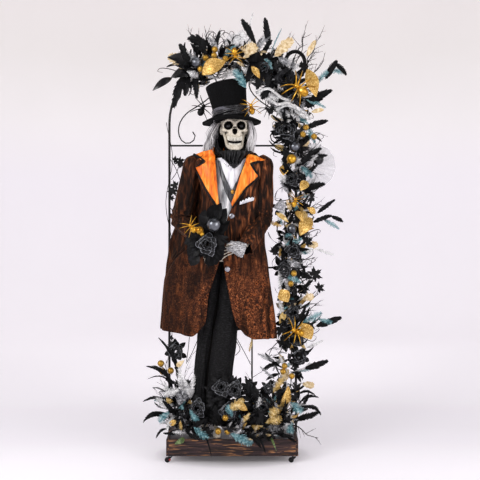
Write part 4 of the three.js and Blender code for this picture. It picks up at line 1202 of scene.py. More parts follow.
def trousers():
    """Two creased legs, bunched above the planter, under a seat that the coat hides."""
    s, count, cols = Soup(), 120, 56
    # For each leg its depth, its radii from top to hem, and its line.
    legs = {"right": (-58, (42, 37, 29, 27, 36, 44), [(-74, 1000), (-92, 900), (-115, 720), (-128, 617),
        (-141, 500), (-153, 380), (-156, 290), (-148, 215), (-140, 172)]),
        "left": (-63, (50, 51, 52, 53, 58, 60), [(8, 1000), (2, 900), (-18, 720), (-33, 617), (-48, 500),
        (-60, 380), (-65, 290), (-67, 215), (-76, 172)])}
    t = np.linspace(0, 1, count)
    along = t[:, None]
    for side, (y, radii, knots) in legs.items():
        path = curve([(x, y, z) for x, z in knots], count)
        radius = eased(t, [0, 0.2, 0.5, 0.75, 0.88, 1], radii, 0.03)
        points, _ = tube(path, radius, cols, 1.0, vec(1, 0, 0))
        rings = points.reshape(count, cols, 3)
        a = np.arange(cols) * TAU / cols
        out = rings - path[:, None]
        size = np.linalg.norm(out, axis=2, keepdims=True)
        bunch = np.clip((t - 0.74) / 0.2, 0, 1)[:, None]
        crease = 4.5 * np.abs(np.sin(a + math.pi / 2)) ** 8
        rumple = bunch * (6.5 * np.sin(along * 95 + 1.4 * np.sin(2 * a + (side == "left")))
            + 2.5 * np.sin(4 * a + 40 * along))
        long = (2.6 * np.sin(5 * a + 6 * along + 1.5 * np.sin(9 * along))
            + 1.6 * np.sin(11 * a - 9 * along) + 1.8 * np.sin(along * 31 + 3 * a))
        rings = path[:, None] + out / size * (size + (rumple + long + crease)[..., None])
        s.add(surface(rings))
    # Painted shade between the legs: a dark tube round the shin, in the shadow material.
    between = [(-42, -44, 960), (-80, -46, 720), (-102, -44, 500), (-116, -42, 340), (-110, -40, 180)]
    s.add(tube(curve(between, 40), 27, 16), 1)  # darkness between the legs, round the shin
    s.add(ball((-36, -60, 985), (98, 60, 62), 30, 14))
    s.piece("trouser_legs", "display", [TROUSER, SOCKET], "black_cloth", ["trousers"])


def hands():
    """Bony hands: wrist, splayed hand bones and three-jointed fingers; the left one leaves a gauze cuff."""
    def finger(soup, start, way, lengths, thick, curl):
        """Bones of the given lengths end to end, each turned a little by curl."""
        at, d = np.array(start, float), unit(way)
        for k, length in enumerate(lengths):
            end = at + d * length
            soup.add(tube(curve([at, (at + end) / 2, end], 7),
                          thick * np.array([1.15, 0.9, 0.72, 0.66, 0.7, 0.88, 1.05]) * (1 - 0.12 * k), 7))
            soup.add(ball(end, thick * 1.12 * (1 - 0.12 * k), 8, 6))
            at, d = end, unit(d + curl)

    _, _, wrist = ARMS["right"]
    right = Soup().add(ball(wrist + vec(0, -3, -6), (14, 12, 12), 12, 8))
    for k in (-1.5, -0.5, 0.5, 1.5):
        finger(right, wrist + vec(3 + k * 7, -4, -10), vec(0.16 + k * 0.1, -0.02, -1), (38, 24, 16, 11), 3.6,
               vec(0.12, 0.05, 0.06))
    finger(right, wrist + vec(16, -8, -12), vec(0.6, -0.2, -0.7), (24, 18, 13), 3.6, vec(0.1, 0.1, -0.2))
    right.piece("hand_bones_right", "forearm_right", [BONE], "bone", ["hand_right"])

    _, _, wrist = ARMS["left"]
    left = Soup().add(ball(wrist + vec(-34, -12, -12), (13, 12, 13), 12, 8))
    for k in (-1.5, -0.5, 0.5, 1.5):
        finger(left, wrist + vec(-42 - abs(k), -14, -12 + k * 8), vec(-1, -0.06, -0.16 + k * 0.12),
            (36, 22, 14, 10), 3.3, vec(0.05, 0.06, -0.22))
    finger(left, wrist + vec(-40, -20, 2), vec(-0.8, -0.5, 0.3), (24, 18, 12), 3.4, vec(0, 0, -0.25))
    left.piece("hand_bones_left", "forearm_left", [BONE], "bone", ["hand_left"])

    rng = np.random.default_rng(8)
    cuff, rows, cols, length = Soup(), 12, 48, vec(-66, -14, 20)
    a = np.arange(cols) * TAU / cols
    _, side, n = axes(length, vec(0, 0, 1))
    points = []
    for k in range(rows):
        t = k / (rows - 1)
        centre = wrist + vec(-8, -4, -14) + length * t
        r = 31 - 16 * t + 3.5 * np.sin(9 * a + 6 * t) + 2 * np.sin(17 * a)
        points.append(centre + (r * np.cos(a))[:, None] * side + (r * 1.15 * np.sin(a))[:, None] * n)
    cuff.add(surface(points))
    for _ in range(26):
        start = wrist + vec(-16 - 40 * rng.random(), -24 - 8 * rng.random(), -26 + 40 * rng.random())
        cuff.add(leaf(start, start + vec(-26 - 16 * rng.random(), -8 * rng.random(), 8 * rng.normal()), 9,
            vec(0, -1, 0.2), 0.2, 0.3, 6))
    cuff.piece("gauze_cuff", "forearm_left", [GAUZE], "silver_cloth")


skull()
jaw()
hat()
hair()
coat = coat_body()
coat_hit = front_of(coat)
lapels(coat)
collar()
for side in ARMS:
    sleeve(side)
vest_and_shirt()
button("coat_button_low", -22, 900, coat_hit)
button("coat_button_high", -2, 1146, coat_hit)
scarf()
trousers()
hands()


# ---- flowers -------------------------------------------------------------------------------------
FRONT = vec(0, -1, 0.15)
LIKELY = (  # share, kind, finish, length range, width as a share of length
    (0.13, "leaf", T_LEAF, (40, 90), 0.3), (0.06, "leaf", T_GLOSS, (40, 80), 0.3),
    (0.06, "leaf", T_SATIN, (40, 70), 0.6), (0.22, "feather", T_BLACK, (60, 140), 0.2),
    (0.04, "feather", T_TEAL, (50, 90), 0.28), (0.10, "feather", T_WHITE, (50, 110), 0.26),
    (0.06, "feather", T_GREY, (50, 100), 0.26), (0.16, "curl", T_BLACK, (60, 130), 1),
    (0.03, "feather", T_CREAM, (55, 90), 0.28), (0.04, "leaf", T_GOLD, (40, 75), 0.4),
    (0.02, "leaf", T_PALE_GOLD, (45, 80), 0.42), (0.14, "star", T_LEAF, (50, 80), 1.0))


class Cluster:
    """One bunch of flowers on a body, gathered into a few pieces by kind."""

    def __init__(self, seed):
        self.rng = np.random.default_rng(seed)
        self.leaves, self.blooms, self.fruit, self.twigs = Soup(), Soup(), Soup(), Soup()

    def put(self, kind, tint, base, tip, width, face=FRONT, bend=None):
        """Adds one leaf, feather, curl or star from base to tip."""
        bend = self.rng.uniform(0.05, 0.2) if bend is None else bend
        if kind == "leaf":
            self.leaves.add(leaf(base, tip, width, face, bend, self.rng.uniform(0.15, 0.45), 9,
                self.rng.uniform(0.7, 1.0)), tint)
        elif kind == "feather":
            wispy = tint not in (T_BLACK, T_CREAM)
            self.leaves.add(feather(self.rng, base, tip, width, face, bend, wispy), tint)
        elif kind == "curl":
            base, tip = np.asarray(base, float), np.asarray(tip, float)
            along, across, _ = axes(tip - base, face)
            size = np.linalg.norm(tip - base) * self.rng.choice((-1, 1))
            knots = [base, base + 0.5 * (tip - base) + across * size * 0.2, tip + across * size * 0.12,
                tip + along * abs(size) * 0.05 - across * size * 0.12,
                tip - along * abs(size) * 0.16 - across * size * 0.1]
            self.leaves.add(tube(curve(knots, 14), np.linspace(2.6, 0.8, 14), 4), tint)
        else:
            middle = (np.asarray(base) + np.asarray(tip)) / 2
            self.leaves.add(star_leaf(middle, np.asarray(tip) - base, face, width), tint)

    def fill(self, line, count, thick, clear, lift=0.25, reach=1.0):
        """Scatters up to count pieces of the likely kinds round a line, wherever clear(place) allows."""
        path = curve(line, 160)
        step = np.gradient(path, axis=0)
        shares = np.cumsum([row[0] for row in LIKELY])
        for _ in range(count):
            i = self.rng.integers(len(path))
            along = unit(step[i])
            side = unit(np.cross(along, vec(0, 1, 0)))
            a = self.rng.uniform(0, TAU)
            out = math.cos(a) * side + math.sin(a) * vec(0, -1, 0)
            row = int(np.searchsorted(shares, self.rng.random() * shares[-1]))
            _, kind, tint, (short, long), wide = LIKELY[row]
            length = self.rng.uniform(short, long) * reach
            base = path[i] + out * self.rng.uniform(2, 0.5 * thick)
            way = unit(out * self.rng.uniform(0.5, 1.0) + along * self.rng.normal() * 0.65 + vec(0, 0, lift))
            tip = base + way * length
            if clear(base) and clear(tip):
                face = unit(out + vec(0, -0.7, 0) + self.rng.normal(size=3) * 0.35)
                self.put(kind, tint, base, tip, length * wide, face)

    def rose(self, x, y, z, r, style=0, facing=None):
        """style 0 is plain black with a painted highlight on its petal rims, 1 silver-edged, 2 glittered, 3
        silver-white.
        """
        facing = unit(vec(0, -1, 0.1) + self.rng.normal(size=3) * 0.14) if facing is None else facing
        points, faces, rim = rose(self.rng, vec(x, y, z), facing, r)
        body, edge = ((0, 4), (0, 1), (2, 2), (3, 1))[style]
        self.blooms.add((points, faces), [edge if e else body for e in rim])
        for k in range(6):
            a = k * TAU / 6 + self.rng.random()
            out = vec(math.cos(a), 0.25, math.sin(a))
            self.put("leaf", T_LEAF, vec(x, y + 10, z) + out * r * 0.4, vec(x, y + 16, z) + out * r * 1.3,
                r * 0.55)

    def ball(self, x, y, z, r, slot):
        self.fruit.add(ball((x, y, z), r, 24, 14), slot)

    def berry(self, x, z, y, r=14.5):
        """A gold berry with a bright eye, on a bent stalk."""
        self.fruit.add(ball((x, y, z), r, 14, 9), 1)
        self.fruit.add(ball((x, y - r * 0.92, z), r * 0.28, 8, 5), 0)
        self.twigs.add(tube(curve([(x, y, z), (x + 4, y + 30, z - 16), (x, y + 44, z - 30)], 6), 1.3, 4))

    def spider(self, x, z, size, y, head, slot=0):
        """A spider that looks towards head: a gold one, or with slot 4 a black one."""
        self.fruit.all(spider(vec(x, y, z), (0, -1, 0.2), head, size), slot)

    def twig(self, base, tip, forks, thick=3.0):
        self.twigs.all(twig(self.rng, base, tip, thick, forks))

    def make(self, name, body, node):
        """Makes one piece of each kind the bunch has; the leaves stand in for its CAD node."""
        for soup, kind, materials, nodes in (
                (self.leaves, "leaves", PALETTE, [node]),
                (self.blooms, "roses", [ROSE, ROSE_EDGE, GLITTER, SHIRT, ROSE_RIM_HIGHLIGHT], []),
                (self.fruit, "fruit", [GOLD, BERRY, SILVER, GLOSSY, LEAF], []),
                (self.twigs, "twigs", [BARK], [])):
            if soup.count:
                soup.piece(f"{name}_{kind}", body, materials, "petals", nodes)


def clear_of_figure(p):
    """Keeps loose flowers off the coat, the turning head and the swinging arms."""
    x, y, z = p
    widest = 12 * (z < 640)  # the coat's flare at its hem
    if 545 < z < 1465 and -300 < x < 222 + widest and y < 48:
        return False
    if 1430 <= z < 1800 and abs(x) < 172 and -230 < y < 110:
        return False
    return -395 < x < 520 and -225 < y < 130 and 95 < z < 2110


# The lines that the garlands follow.
SIDE_LINE = [(262, 4, 200), (268, 4, 330), (266, 4, 520), (276, 4, 640), (288, 4, 745), (284, 4, 900),
    (276, 4, 990), (290, 4, 1120), (302, 4, 1240), (306, 4, 1360), (304, 4, 1470), (290, 4, 1620)]
TOP_LINE = [(292, 6, 1600), (268, 6, 1700), (218, 6, 1790), (140, 6, 1866), (36, 6, 1908), (-84, 6, 1900),
    (-180, 6, 1852), (-218, 6, 1812)]


def side_garland():
    """The flowers up the post at the figure's left, with a pleated fan of net behind the glossy ball."""
    bunch = Cluster(21)
    bunch.fill(SIDE_LINE, 640, 92, clear_of_figure)
    bunch.fill([(240, -16, 690), (238, -16, 900), (244, -16, 1120)], 90, 36, clear_of_figure)
    for x, z, r, style in ((260, 1545, 58, 0), (289, 987, 46, 1), (246, 897, 42, 0), (317, 482, 44, 1),
            (230, 1192, 34, 3), (282, 1320, 40, 0), (262, 640, 44, 0), (300, 560, 38, 0),
            (284, 690, 40, 0)):
        bunch.rose(x, -58 if x > 235 else -30, z, r, style)
    for x, z in ((346, 1564), (331, 1531), (384, 1521), (289, 878), (274, 830), (246, 444), (238, 418),
            (279, 396)):
        bunch.berry(x, z, -96)
    bunch.ball(293, -92, 1473, 27, 2)
    bunch.ball(279, -98, 1087, 23, 2)
    bunch.ball(279, -92, 1416, 23, 0)
    bunch.ball(408, -62, 1416, 25, 3)
    bunch.ball(322, -88, 1236, 16, 2)
    bunch.spider(293, 1216, 86, -112, (0.3, 0, 1))
    bunch.spider(300, 608, 120, -112, (-0.9, 0, 0.4))
    # Broad gold leaves: base x and z, tip x and z, width, finish.
    for (bx, bz), (tx, tz), width, tint in (((246, 1392), (240, 1340), 44, T_GOLD),
            ((352, 1310), (318, 1266), 44, T_GOLD), ((372, 1140), (320, 1056), 66, T_GOLD),
            ((330, 640), (372, 566), 66, T_GOLD), ((226, 800), (262, 744), 60, T_GOLD),
            ((392, 1160), (352, 1188), 30, T_GOLD), ((262, 350), (250, 240), 34, T_GOLD),
            ((300, 1170), (330, 1120), 36, T_GOLD), ((205, 1162), (262, 1118), 24, T_PALE_GOLD),
            ((240, 300), (196, 250), 40, T_PALE_GOLD), ((252, 700), (222, 640), 30, T_PALE_GOLD)):
        back = bunch.rng.uniform(0, 44)
        bunch.put("leaf", tint, (bx, back - 104, bz), (tx, back - 118, tz), width,
            FRONT + 0.16 * bunch.rng.normal(size=3), 0.12)
    for (bx, bz), (tx, tz), size in (((360, 850), (408, 886), 84), ((384, 790), (430, 822), 62),
            ((310, 1456), (352, 1500), 70), ((300, 770), (262, 730), 74), ((210, 640), (244, 600), 90),
            ((216, 520), (262, 560), 96), ((228, 700), (252, 660), 80), ((330, 1010), (372, 1040), 66),
            ((310, 1090), (350, 1072), 60)):
        bunch.put("star", T_LEAF, vec(bx, -70, bz), vec(tx, -74, tz), size)
    # Feathers: finish, base x and z, tip x and z, width.
    feathers = ((T_BLACK, (350, 1660), (455, 1733), 30), (T_BLACK, (400, 1160), (486, 1226), 22),
        (T_BLACK, (380, 1118), (470, 1152), 24), (T_BLACK, (466, 1150), (524, 1122), 22),
        (T_TEAL, (430, 1136), (506, 1086), 24), (T_TEAL, (330, 640), (424, 690), 34),
        (T_BLACK, (392, 622), (516, 668), 34), (T_TEAL, (404, 660), (480, 640), 26),
        (T_WHITE, (310, 968), (400, 992), 24), (T_WHITE, (396, 992), (484, 962), 22),
        (T_WHITE, (352, 520), (432, 560), 22), (T_GOLD, (150, 1126), (232, 1100), 22),
        (T_GREY, (205, 456), (120, 496), 24), (T_CREAM, (226, 350), (262, 420), 40),
        (T_CREAM, (350, 1010), (404, 1012), 34), (T_CREAM, (330, 752), (384, 770), 36),
        (T_CREAM, (330, 350), (386, 346), 34), (T_TEAL, (396, 1490), (352, 1580), 32),
        (T_WHITE, (330, 1600), (252, 1640), 40), (T_WHITE, (290, 1300), (220, 1340), 34),
        (T_WHITE, (352, 1440), (300, 1400), 32), (T_TEAL, (322, 1390), (376, 1330), 34),
        (T_TEAL, (250, 1010), (330, 1040), 32), (T_TEAL, (330, 830), (262, 860), 32),
        (T_WHITE, (250, 1180), (216, 1130), 32), (T_GREY, (330, 900), (262, 940), 34),
        (T_WHITE, (222, 900), (226, 800), 24), (T_WHITE, (222, 760), (238, 660), 24),
        (T_BLACK, (300, 1380), (420, 1470), 36), (T_BLACK, (330, 1560), (452, 1600), 30),
        (T_BLACK, (340, 420), (452, 462), 34), (T_BLACK, (330, 1270), (438, 1300), 34))
    for tint, (bx, bz), (tx, tz), width in feathers:
        bunch.put("feather", tint, (bx, -50, bz), (tx, -64, tz), width)
    for base, tip in (((300, -10, 1180), (428, -20, 1206)), ((290, -10, 660), (414, -20, 730)),
            ((300, 10, 930), (400, 0, 952)), ((300, 0, 1500), (420, -10, 1560)),
            ((270, 0, 540), (200, -10, 470)), ((322, -30, 1210), (412, -60, 1292)),
            ((312, -30, 1000), (400, -60, 1064)), ((322, -30, 700), (412, -60, 776)),
            ((322, -30, 1420), (404, -60, 1338)), ((330, -30, 1160), (420, -60, 1200)),
            ((320, -30, 880), (396, -50, 940)), ((250, -20, 1010), (226, -40, 900))):
        bunch.twig(base, tip, 6)
    bunch.make("side_garland", "display", "garland_side")

    # The netting fan behind the glossy ball: one pleated circle of net gathered at its middle.
    rows, cols, pts = 9, 90, []
    a = np.arange(cols) * TAU / cols
    for k in range(rows):
        r = 8 + 98 * k / (rows - 1)
        pts.append(np.stack([386 + r * np.cos(a), -34 + (4 + 0.08 * r) * np.sin(13 * a) - 0.05 * r,
            1389 + r * np.sin(a)], 1))
    net = Soup().add(surface(pts)).piece("net_fan", "display", [NET], "petals")


def top_garland():
    """The flowers over the arch, with a square of net behind the tall black feathers."""
    bunch = Cluster(22)
    bunch.fill(TOP_LINE, 430, 92, clear_of_figure, 0.3)
    bunch.fill([(60, -10, 1870), (150, -10, 1830), (230, -10, 1770), (280, -10, 1690)], 190, 110,
        clear_of_figure, 0.1)
    for x, z, r, style in ((250, 1793, 62, 2), (150, 1850, 46, 0), (286, 1690, 44, 0), (-118, 1880, 34, 0),
            (20, 1850, 30, 0)):
        bunch.rose(x, -62, z, r, style)
    for x, z in ((-126, 1892), (-83, 1932), (-86, 1904), (-33, 1888), (-150, 1840)):
        bunch.berry(x, z, -88)
    bunch.ball(-169, -90, 1869, 27, 2)
    bunch.ball(-120, -80, 1846, 18, 2)
    bunch.spider(12, 1902, 96, -116, (0.1, 0, -1))
    bunch.spider(88, 1644, 96, -158, (-0.2, 0, 1))
    bunch.spider(312, 1740, 150, -128, (-0.75, 0, 0.65))
    bunch.spider(-144, 1666, 112, -20, (0.5, 0, 1), slot=4)
    bunch.spider(166, 1640, 84, -134, (-0.8, 0, 0.6), slot=4)
    bunch.put("leaf", T_GOLD, (-140, -112, 1808), (-32, -116, 1868), 74, FRONT, 0.16)
    bunch.put("leaf", T_GOLD, (352, -100, 1836), (392, -104, 1706), 62, FRONT, 0.12)
    bunch.put("leaf", T_GOLD, (90, -98, 1850), (128, -104, 1792), 30, FRONT, 0.12)
    # Feathers: finish, base x and z, tip x and z, width.
    feathers = ((T_CREAM, (20, 1896), (112, 1950), 62), (T_CREAM, (196, 1900), (284, 1982), 52),
        (T_CREAM, (350, 1900), (392, 1976), 26), (T_CREAM, (-200, 1862), (-300, 1898), 56),
        (T_TEAL, (66, 1728), (10, 1812), 46), (T_BLACK, (110, 1960), (44, 2076), 34),
        (T_BLACK, (172, 1940), (154, 2084), 32), (T_WHITE, (80, 2040), (99, 2112), 12),
        (T_TEAL, (184, 1926), (234, 2036), 9), (T_TEAL, (392, 1770), (452, 1836), 30),
        (T_TEAL, (446, 1842), (536, 1822), 34), (T_TEAL, (-150, 1826), (-108, 1884), 36),
        (T_TEAL, (190, 1830), (150, 1886), 36), (T_WHITE, (120, 1720), (232, 1700), 44),
        (T_WHITE, (236, 1690), (330, 1640), 40), (T_GREY, (160, 1700), (262, 1640), 36),
        (T_WHITE, (290, 1650), (372, 1600), 34), (T_WHITE, (40, 1850), (100, 1816), 40),
        (T_GREY, (214, 1900), (290, 1850), 46), (T_WHITE, (-60, 1800), (24, 1836), 40),
        (T_WHITE, (-226, 1836), (-164, 1806), 34), (T_GREY, (-240, 1876), (-170, 1900), 36),
        (T_GREY, (110, 1930), (176, 2010), 40), (T_WHITE, (-10, 1960), (60, 2010), 56),
        (T_BLACK, (-190, 1840), (-250, 1960), 34), (T_BLACK, (-120, 1900), (-170, 2006), 30),
        (T_GREY, (-60, 1920), (-110, 1990), 30), (T_TEAL, (340, 1700), (440, 1660), 22),
        (T_CREAM, (372, 1640), (430, 1650), 22), (T_BLACK, (342, 1680), (470, 1742), 34))
    for tint, (bx, bz), (tx, tz), width in feathers:
        near = -175 if (bx, bz) == (66, 1728) else -70  # that one crosses in front of the hat
        bunch.put("feather", tint, (bx, near, bz), (tx, near - 6, tz), width, FRONT, 0.1)
    # Leaves and feathers that hang or stand out at the rim, in the same order.
    drooping = (((-190, 1838), (-290, 1800), 54, T_GLOSS), ((-288, 1806), (-376, 1738), 36, T_GLOSS),
        ((-222, 1836), (-276, 1660), 44, T_LEAF), ((-176, 1836), (-168, 1704), 34, T_LEAF),
        ((-180, 1880), (-306, 1896), 52, T_GLOSS), ((-170, 1850), (-262, 1856), 44, T_GLOSS),
        ((-206, 1820), (-222, 1716), 36, T_LEAF), ((120, 1900), (60, 1764), 38, T_SATIN),
        ((150, 1880), (116, 1746), 40, T_LEAF), ((170, 1870), (164, 1756), 36, T_LEAF),
        ((90, 1910), (130, 1800), 50, T_SATIN), ((60, 1910), (150, 1880), 60, T_SATIN),
        ((440, 1796), (492, 1880), 32, T_LEAF), ((484, 1880), (536, 1812), 26, T_LEAF),
        ((200, 1800), (140, 1700), 44, T_LEAF), ((180, 1720), (262, 1650), 34, T_LEAF),
        ((250, 1700), (330, 1650), 36, T_GLOSS), ((-100, 1960), (-210, 1984), 40, T_LEAF))
    for (bx, bz), (tx, tz), width, tint in drooping:
        kind, tint = ("feather", T_BLACK) if tint == T_LEAF else ("leaf", tint)
        bunch.put(kind, tint, (bx, -56, bz), (tx, -84, tz), width, FRONT, 0.14)
    for ribbon in (((110, -90, 1726), (170, -96, 1746), (236, -92, 1702), (300, -80, 1690)),
                   ((160, -90, 1704), (214, -96, 1672), (262, -92, 1680), (330, -84, 1650)),
                   ((206, -90, 1648), (262, -94, 1668), (350, -80, 1634))):
        bunch.leaves.add(tube(curve(ribbon, 24), 9, 6, 0.16, vec(0.3, 0.4, 1)), T_WHITE)
    for x, z, size in ((-183, 1976, 70), (-230, 1900, 60), (330, 1860, 66), (210, 1690, 60), (60, 1950, 60)):
        bunch.put("star", T_LEAF, vec(x - 20, -40, z - 16), vec(x + 20, -44, z + 16), size)
    loop = [(262 + 46 * (1 - math.cos(a)) - 8, -30, 1886 + 52 * math.sin(a))
        for a in np.linspace(-0.6, TAU - 1.6, 14)]
    bunch.leaves.add(tube(curve(loop, 40), 9, 6, 0.4), T_BLACK)
    for base, tip in (((-110, 0, 1900), (-168, -10, 2018)), ((-80, 0, 1900), (-134, -10, 2044)),
            ((-60, 0, 1900), (-92, -10, 2030)), ((-30, 0, 1900), (-14, -10, 1986)),
            ((240, 0, 1860), (280, -10, 2014)), ((270, 0, 1840), (330, -10, 1984)),
            ((300, 0, 1800), (400, -10, 1948)), ((-120, -20, 1890), (-210, -50, 2026)),
            ((-90, -30, 1900), (-60, -60, 2020)), ((320, -20, 1840), (424, -40, 2010)),
            ((340, -20, 1760), (440, -40, 1900)), ((300, -20, 1860), (352, -40, 2026)),
            ((330, 0, 1800), (372, -10, 1920)), ((-150, 0, 1860), (-230, -10, 1950))):
        bunch.twig(base, tip, 8)
    bunch.make("top_garland", "display", "garland_top")

    # White net tucked behind the tall black feathers: a loose, rumpled square.
    n, pts = 16, []
    for i in range(n):
        for j in range(n):
            u, v = i / (n - 1), j / (n - 1)
            pts.append((-30 + 130 * u + 8 * math.sin(7 * v), 4 + 10 * math.sin(9 * u + 4 * v),
                1930 + 92 * v + 10 * math.sin(6 * u)))
    net = Soup().add((pts, grid(n, n))).piece("net_square", "display", [NET], "petals")


def base_flowers():
    """The two bunches at the foot; their filling keeps clear of the trousers."""
    def clear(p):
        x, y, z = p
        return -425 < x < 450 and -238 < y < 60 and 118 < z < 470 and not (-180 < x < -18 and -112 < y
            and z < 400)

    right, left = Cluster(23), Cluster(24)
    right.fill([(-190, -70, 150), (-236, -60, 190), (-262, -40, 260), (-262, -24, 330)], 150, 96, clear,
        0.3, 0.95)
    right.fill([(-262, -90, 140), (-190, -110, 140), (-110, -134, 134)], 70, 70, clear, 0.15, 0.85)
    left.fill([(-10, -100, 150), (60, -90, 190), (130, -80, 200), (210, -70, 200), (262, -50, 230)], 300,
        110, clear, 0.3)
    left.fill([(-60, -140, 150), (60, -120, 134), (160, -120, 134), (250, -110, 140)], 110, 80, clear, 0.1,
        0.85)
    for _ in range(90):  # a dark mass of leaves in front of the trousers
        a, r = left.rng.uniform(0, TAU), left.rng.uniform(10, 56)
        out = vec(math.cos(a), 0, math.sin(a))
        base = vec(-16, left.rng.uniform(-144, -130), 312) + out * r * (1.5, 1, 1.1)
        left.put("leaf", T_LEAF, base, base + out * left.rng.uniform(22, 44)
            + vec(0, left.rng.uniform(-14, 4), 6), 19)
    for x, y, z, r, style in ((-159, -118, 249, 48, 1), (-272, -30, 500, 46, 0), (-232, -60, 300, 38, 0),
            (-250, -90, 200, 36, 0)):
        right.rose(x, y, z, r, style)
    for x, y, z, r, style in ((-52, -152, 350, 46, 0), (10, -146, 346, 44, 0), (-20, -148, 240, 48, 0),
            (137, -100, 250, 46, 0), (84, -80, 334, 34, 0), (110, -70, 290, 40, 0), (170, -96, 340, 30, 0),
            (40, -110, 200, 44, 0), (236, -80, 300, 40, 0)):
        left.rose(x, y, z, r, style)
    for x, z in ((-340, 449), (-331, 411), (-293, 415)):
        right.berry(x, z, -60, 16)
    for x, z in ((-31, 220), (-64, 158), (-21, 158)):
        left.berry(x, z, -172, 15)
    # Long pieces at the rim, then the feathers among the roses.
    for cluster, tint, base, tip, width in ((right, T_LEAF, (-300, -70, 190), (-412, -100, 186), 26),
            (right, T_LEAF, (-300, -70, 214), (-418, -90, 176), 30),
            (right, T_LEAF, (-290, -60, 250), (-420, -80, 272), 30),
            (right, T_LEAF, (-280, -60, 330), (-404, -80, 438), 36),
            (right, T_GLOSS, (-270, -60, 250), (-372, -90, 300), 38),
            (right, T_LEAF, (-280, -60, 350), (-402, -70, 376), 12),
            (right, T_LEAF, (-300, -90, 150), (-352, -140, 118), 20),
            (right, T_LEAF, (-262, -20, 360), (-352, -40, 566), 26),
            (right, T_GOLD, (-262, -130, 196), (-296, -140, 176), 26),
            (right, T_PALE_GOLD, (-240, -140, 200), (-236, -144, 152), 18),
            (right, T_PALE_GOLD, (-310, -100, 300), (-290, -104, 270), 30),
            (right, T_CREAM, (-262, -90, 440), (-226, -96, 470), 24),
            (right, T_LEAF, (-130, -150, 130), (-92, -232, 62), 10),
            (right, T_GREEN, (-220, -150, 120), (-262, -190, 104), 26),
            (left, T_LEAF, (110, -150, 130), (150, -230, 76), 16),
            (left, T_GREEN, (180, -150, 124), (200, -232, 86), 10),
            (left, T_LEAF, (60, -150, 134), (130, -220, 96), 34),
            (left, T_LEAF, (310, -80, 260), (404, -100, 296), 26),
            (left, T_LEAF, (320, -80, 250), (414, -100, 214), 32),
            (left, T_LEAF, (300, -60, 300), (392, -80, 300), 22),
            (left, T_PALE_GOLD, (-24, -170, 250), (52, -178, 306), 40),
            (left, T_GOLD, (16, -150, 290), (70, -158, 250), 34),
            (left, T_PALE_GOLD, (40, -164, 190), (80, -170, 240), 22),
            (left, T_PALE_GOLD, (180, -150, 200), (196, -156, 262), 44),
            (left, T_PALE_GOLD, (150, -150, 190), (226, -156, 216), 40),
            (left, T_PALE_GOLD, (190, -110, 320), (236, -116, 392), 34),
            (left, T_GOLD, (236, -120, 262), (262, -126, 350), 32),
            (left, T_LEAF, (80, -120, 280), (60, -124, 400), 30),
            (left, T_LEAF, (110, -120, 260), (96, -124, 372), 34),
            (left, T_PALE_GOLD, (96, -30, 566), (80, -34, 500), 14)):
        if tint == T_LEAF:  # long black feathers arch over and droop at the tip
            cluster.put("feather", T_BLACK, base, tip, width * 0.8, vec(0, -0.75, 1), 0.3)
        else:
            cluster.put("feather" if tint == T_PALE_GOLD else "leaf", tint, base, tip, width, FRONT, 0.2)
    for cluster, tint, base, tip, width in ((right, T_WHITE, (-262, -100, 220), (-352, -120, 300), 34),
            (right, T_WHITE, (-330, -110, 310), (-250, -120, 336), 40),
            (right, T_WHITE, (-230, -60, 300), (-250, -80, 440), 34),
            (right, T_WHITE, (-200, -70, 280), (-180, -80, 400), 28),
            (right, T_WHITE, (-200, -90, 290), (-222, -96, 380), 26),
            (right, T_TEAL, (-290, -120, 240), (-340, -130, 190), 36),
            (right, T_TEAL, (-200, -130, 250), (-150, -140, 180), 30),
            (right, T_TEAL, (-180, -160, 176), (-110, -176, 128), 34),
            (right, T_GREY, (-250, -110, 260), (-230, -116, 330), 56),
            (left, T_TEAL, (-10, -176, 150), (90, -196, 108), 46),
            (left, T_TEAL, (0, -170, 220), (-20, -176, 280), 34),
            (left, T_TEAL, (270, -110, 280), (322, -124, 230), 44),
            (left, T_TEAL, (280, -120, 190), (262, -130, 140), 40),
            (left, T_WHITE, (270, -110, 240), (252, -116, 150), 36),
            (left, T_GREY, (60, -140, 160), (-10, -150, 130), 30),
            (left, T_GREY, (150, -120, 170), (230, -130, 150), 44),
            (left, T_WHITE, (110, -116, 240), (130, -120, 300), 26),
            (left, T_GREY, (200, -90, 380), (130, -96, 440), 18),
            (left, T_WHITE, (262, -60, 400), (222, -66, 490), 18),
            (left, T_BLACK, (290, -60, 180), (410, -80, 224), 30)):
        cluster.put("feather", tint, base, tip, width, FRONT, 0.16)
    right.twig((-262, -40, 200), (-330, -60, 452), 6)
    right.twig((-250, -40, 200), (-206, -50, 480), 6, 2.0)
    right.twig((-236, -40, 200), (-280, -50, 470), 5, 2.0)
    left.twig((290, -60, 160), (400, -90, 98), 5)
    left.twig((80, -40, 200), (96, -40, 440), 6)
    right.make("base_bunch_right", "display", "base_flowers_right")
    left.make("base_bunch_left", "display", "base_flowers_left")


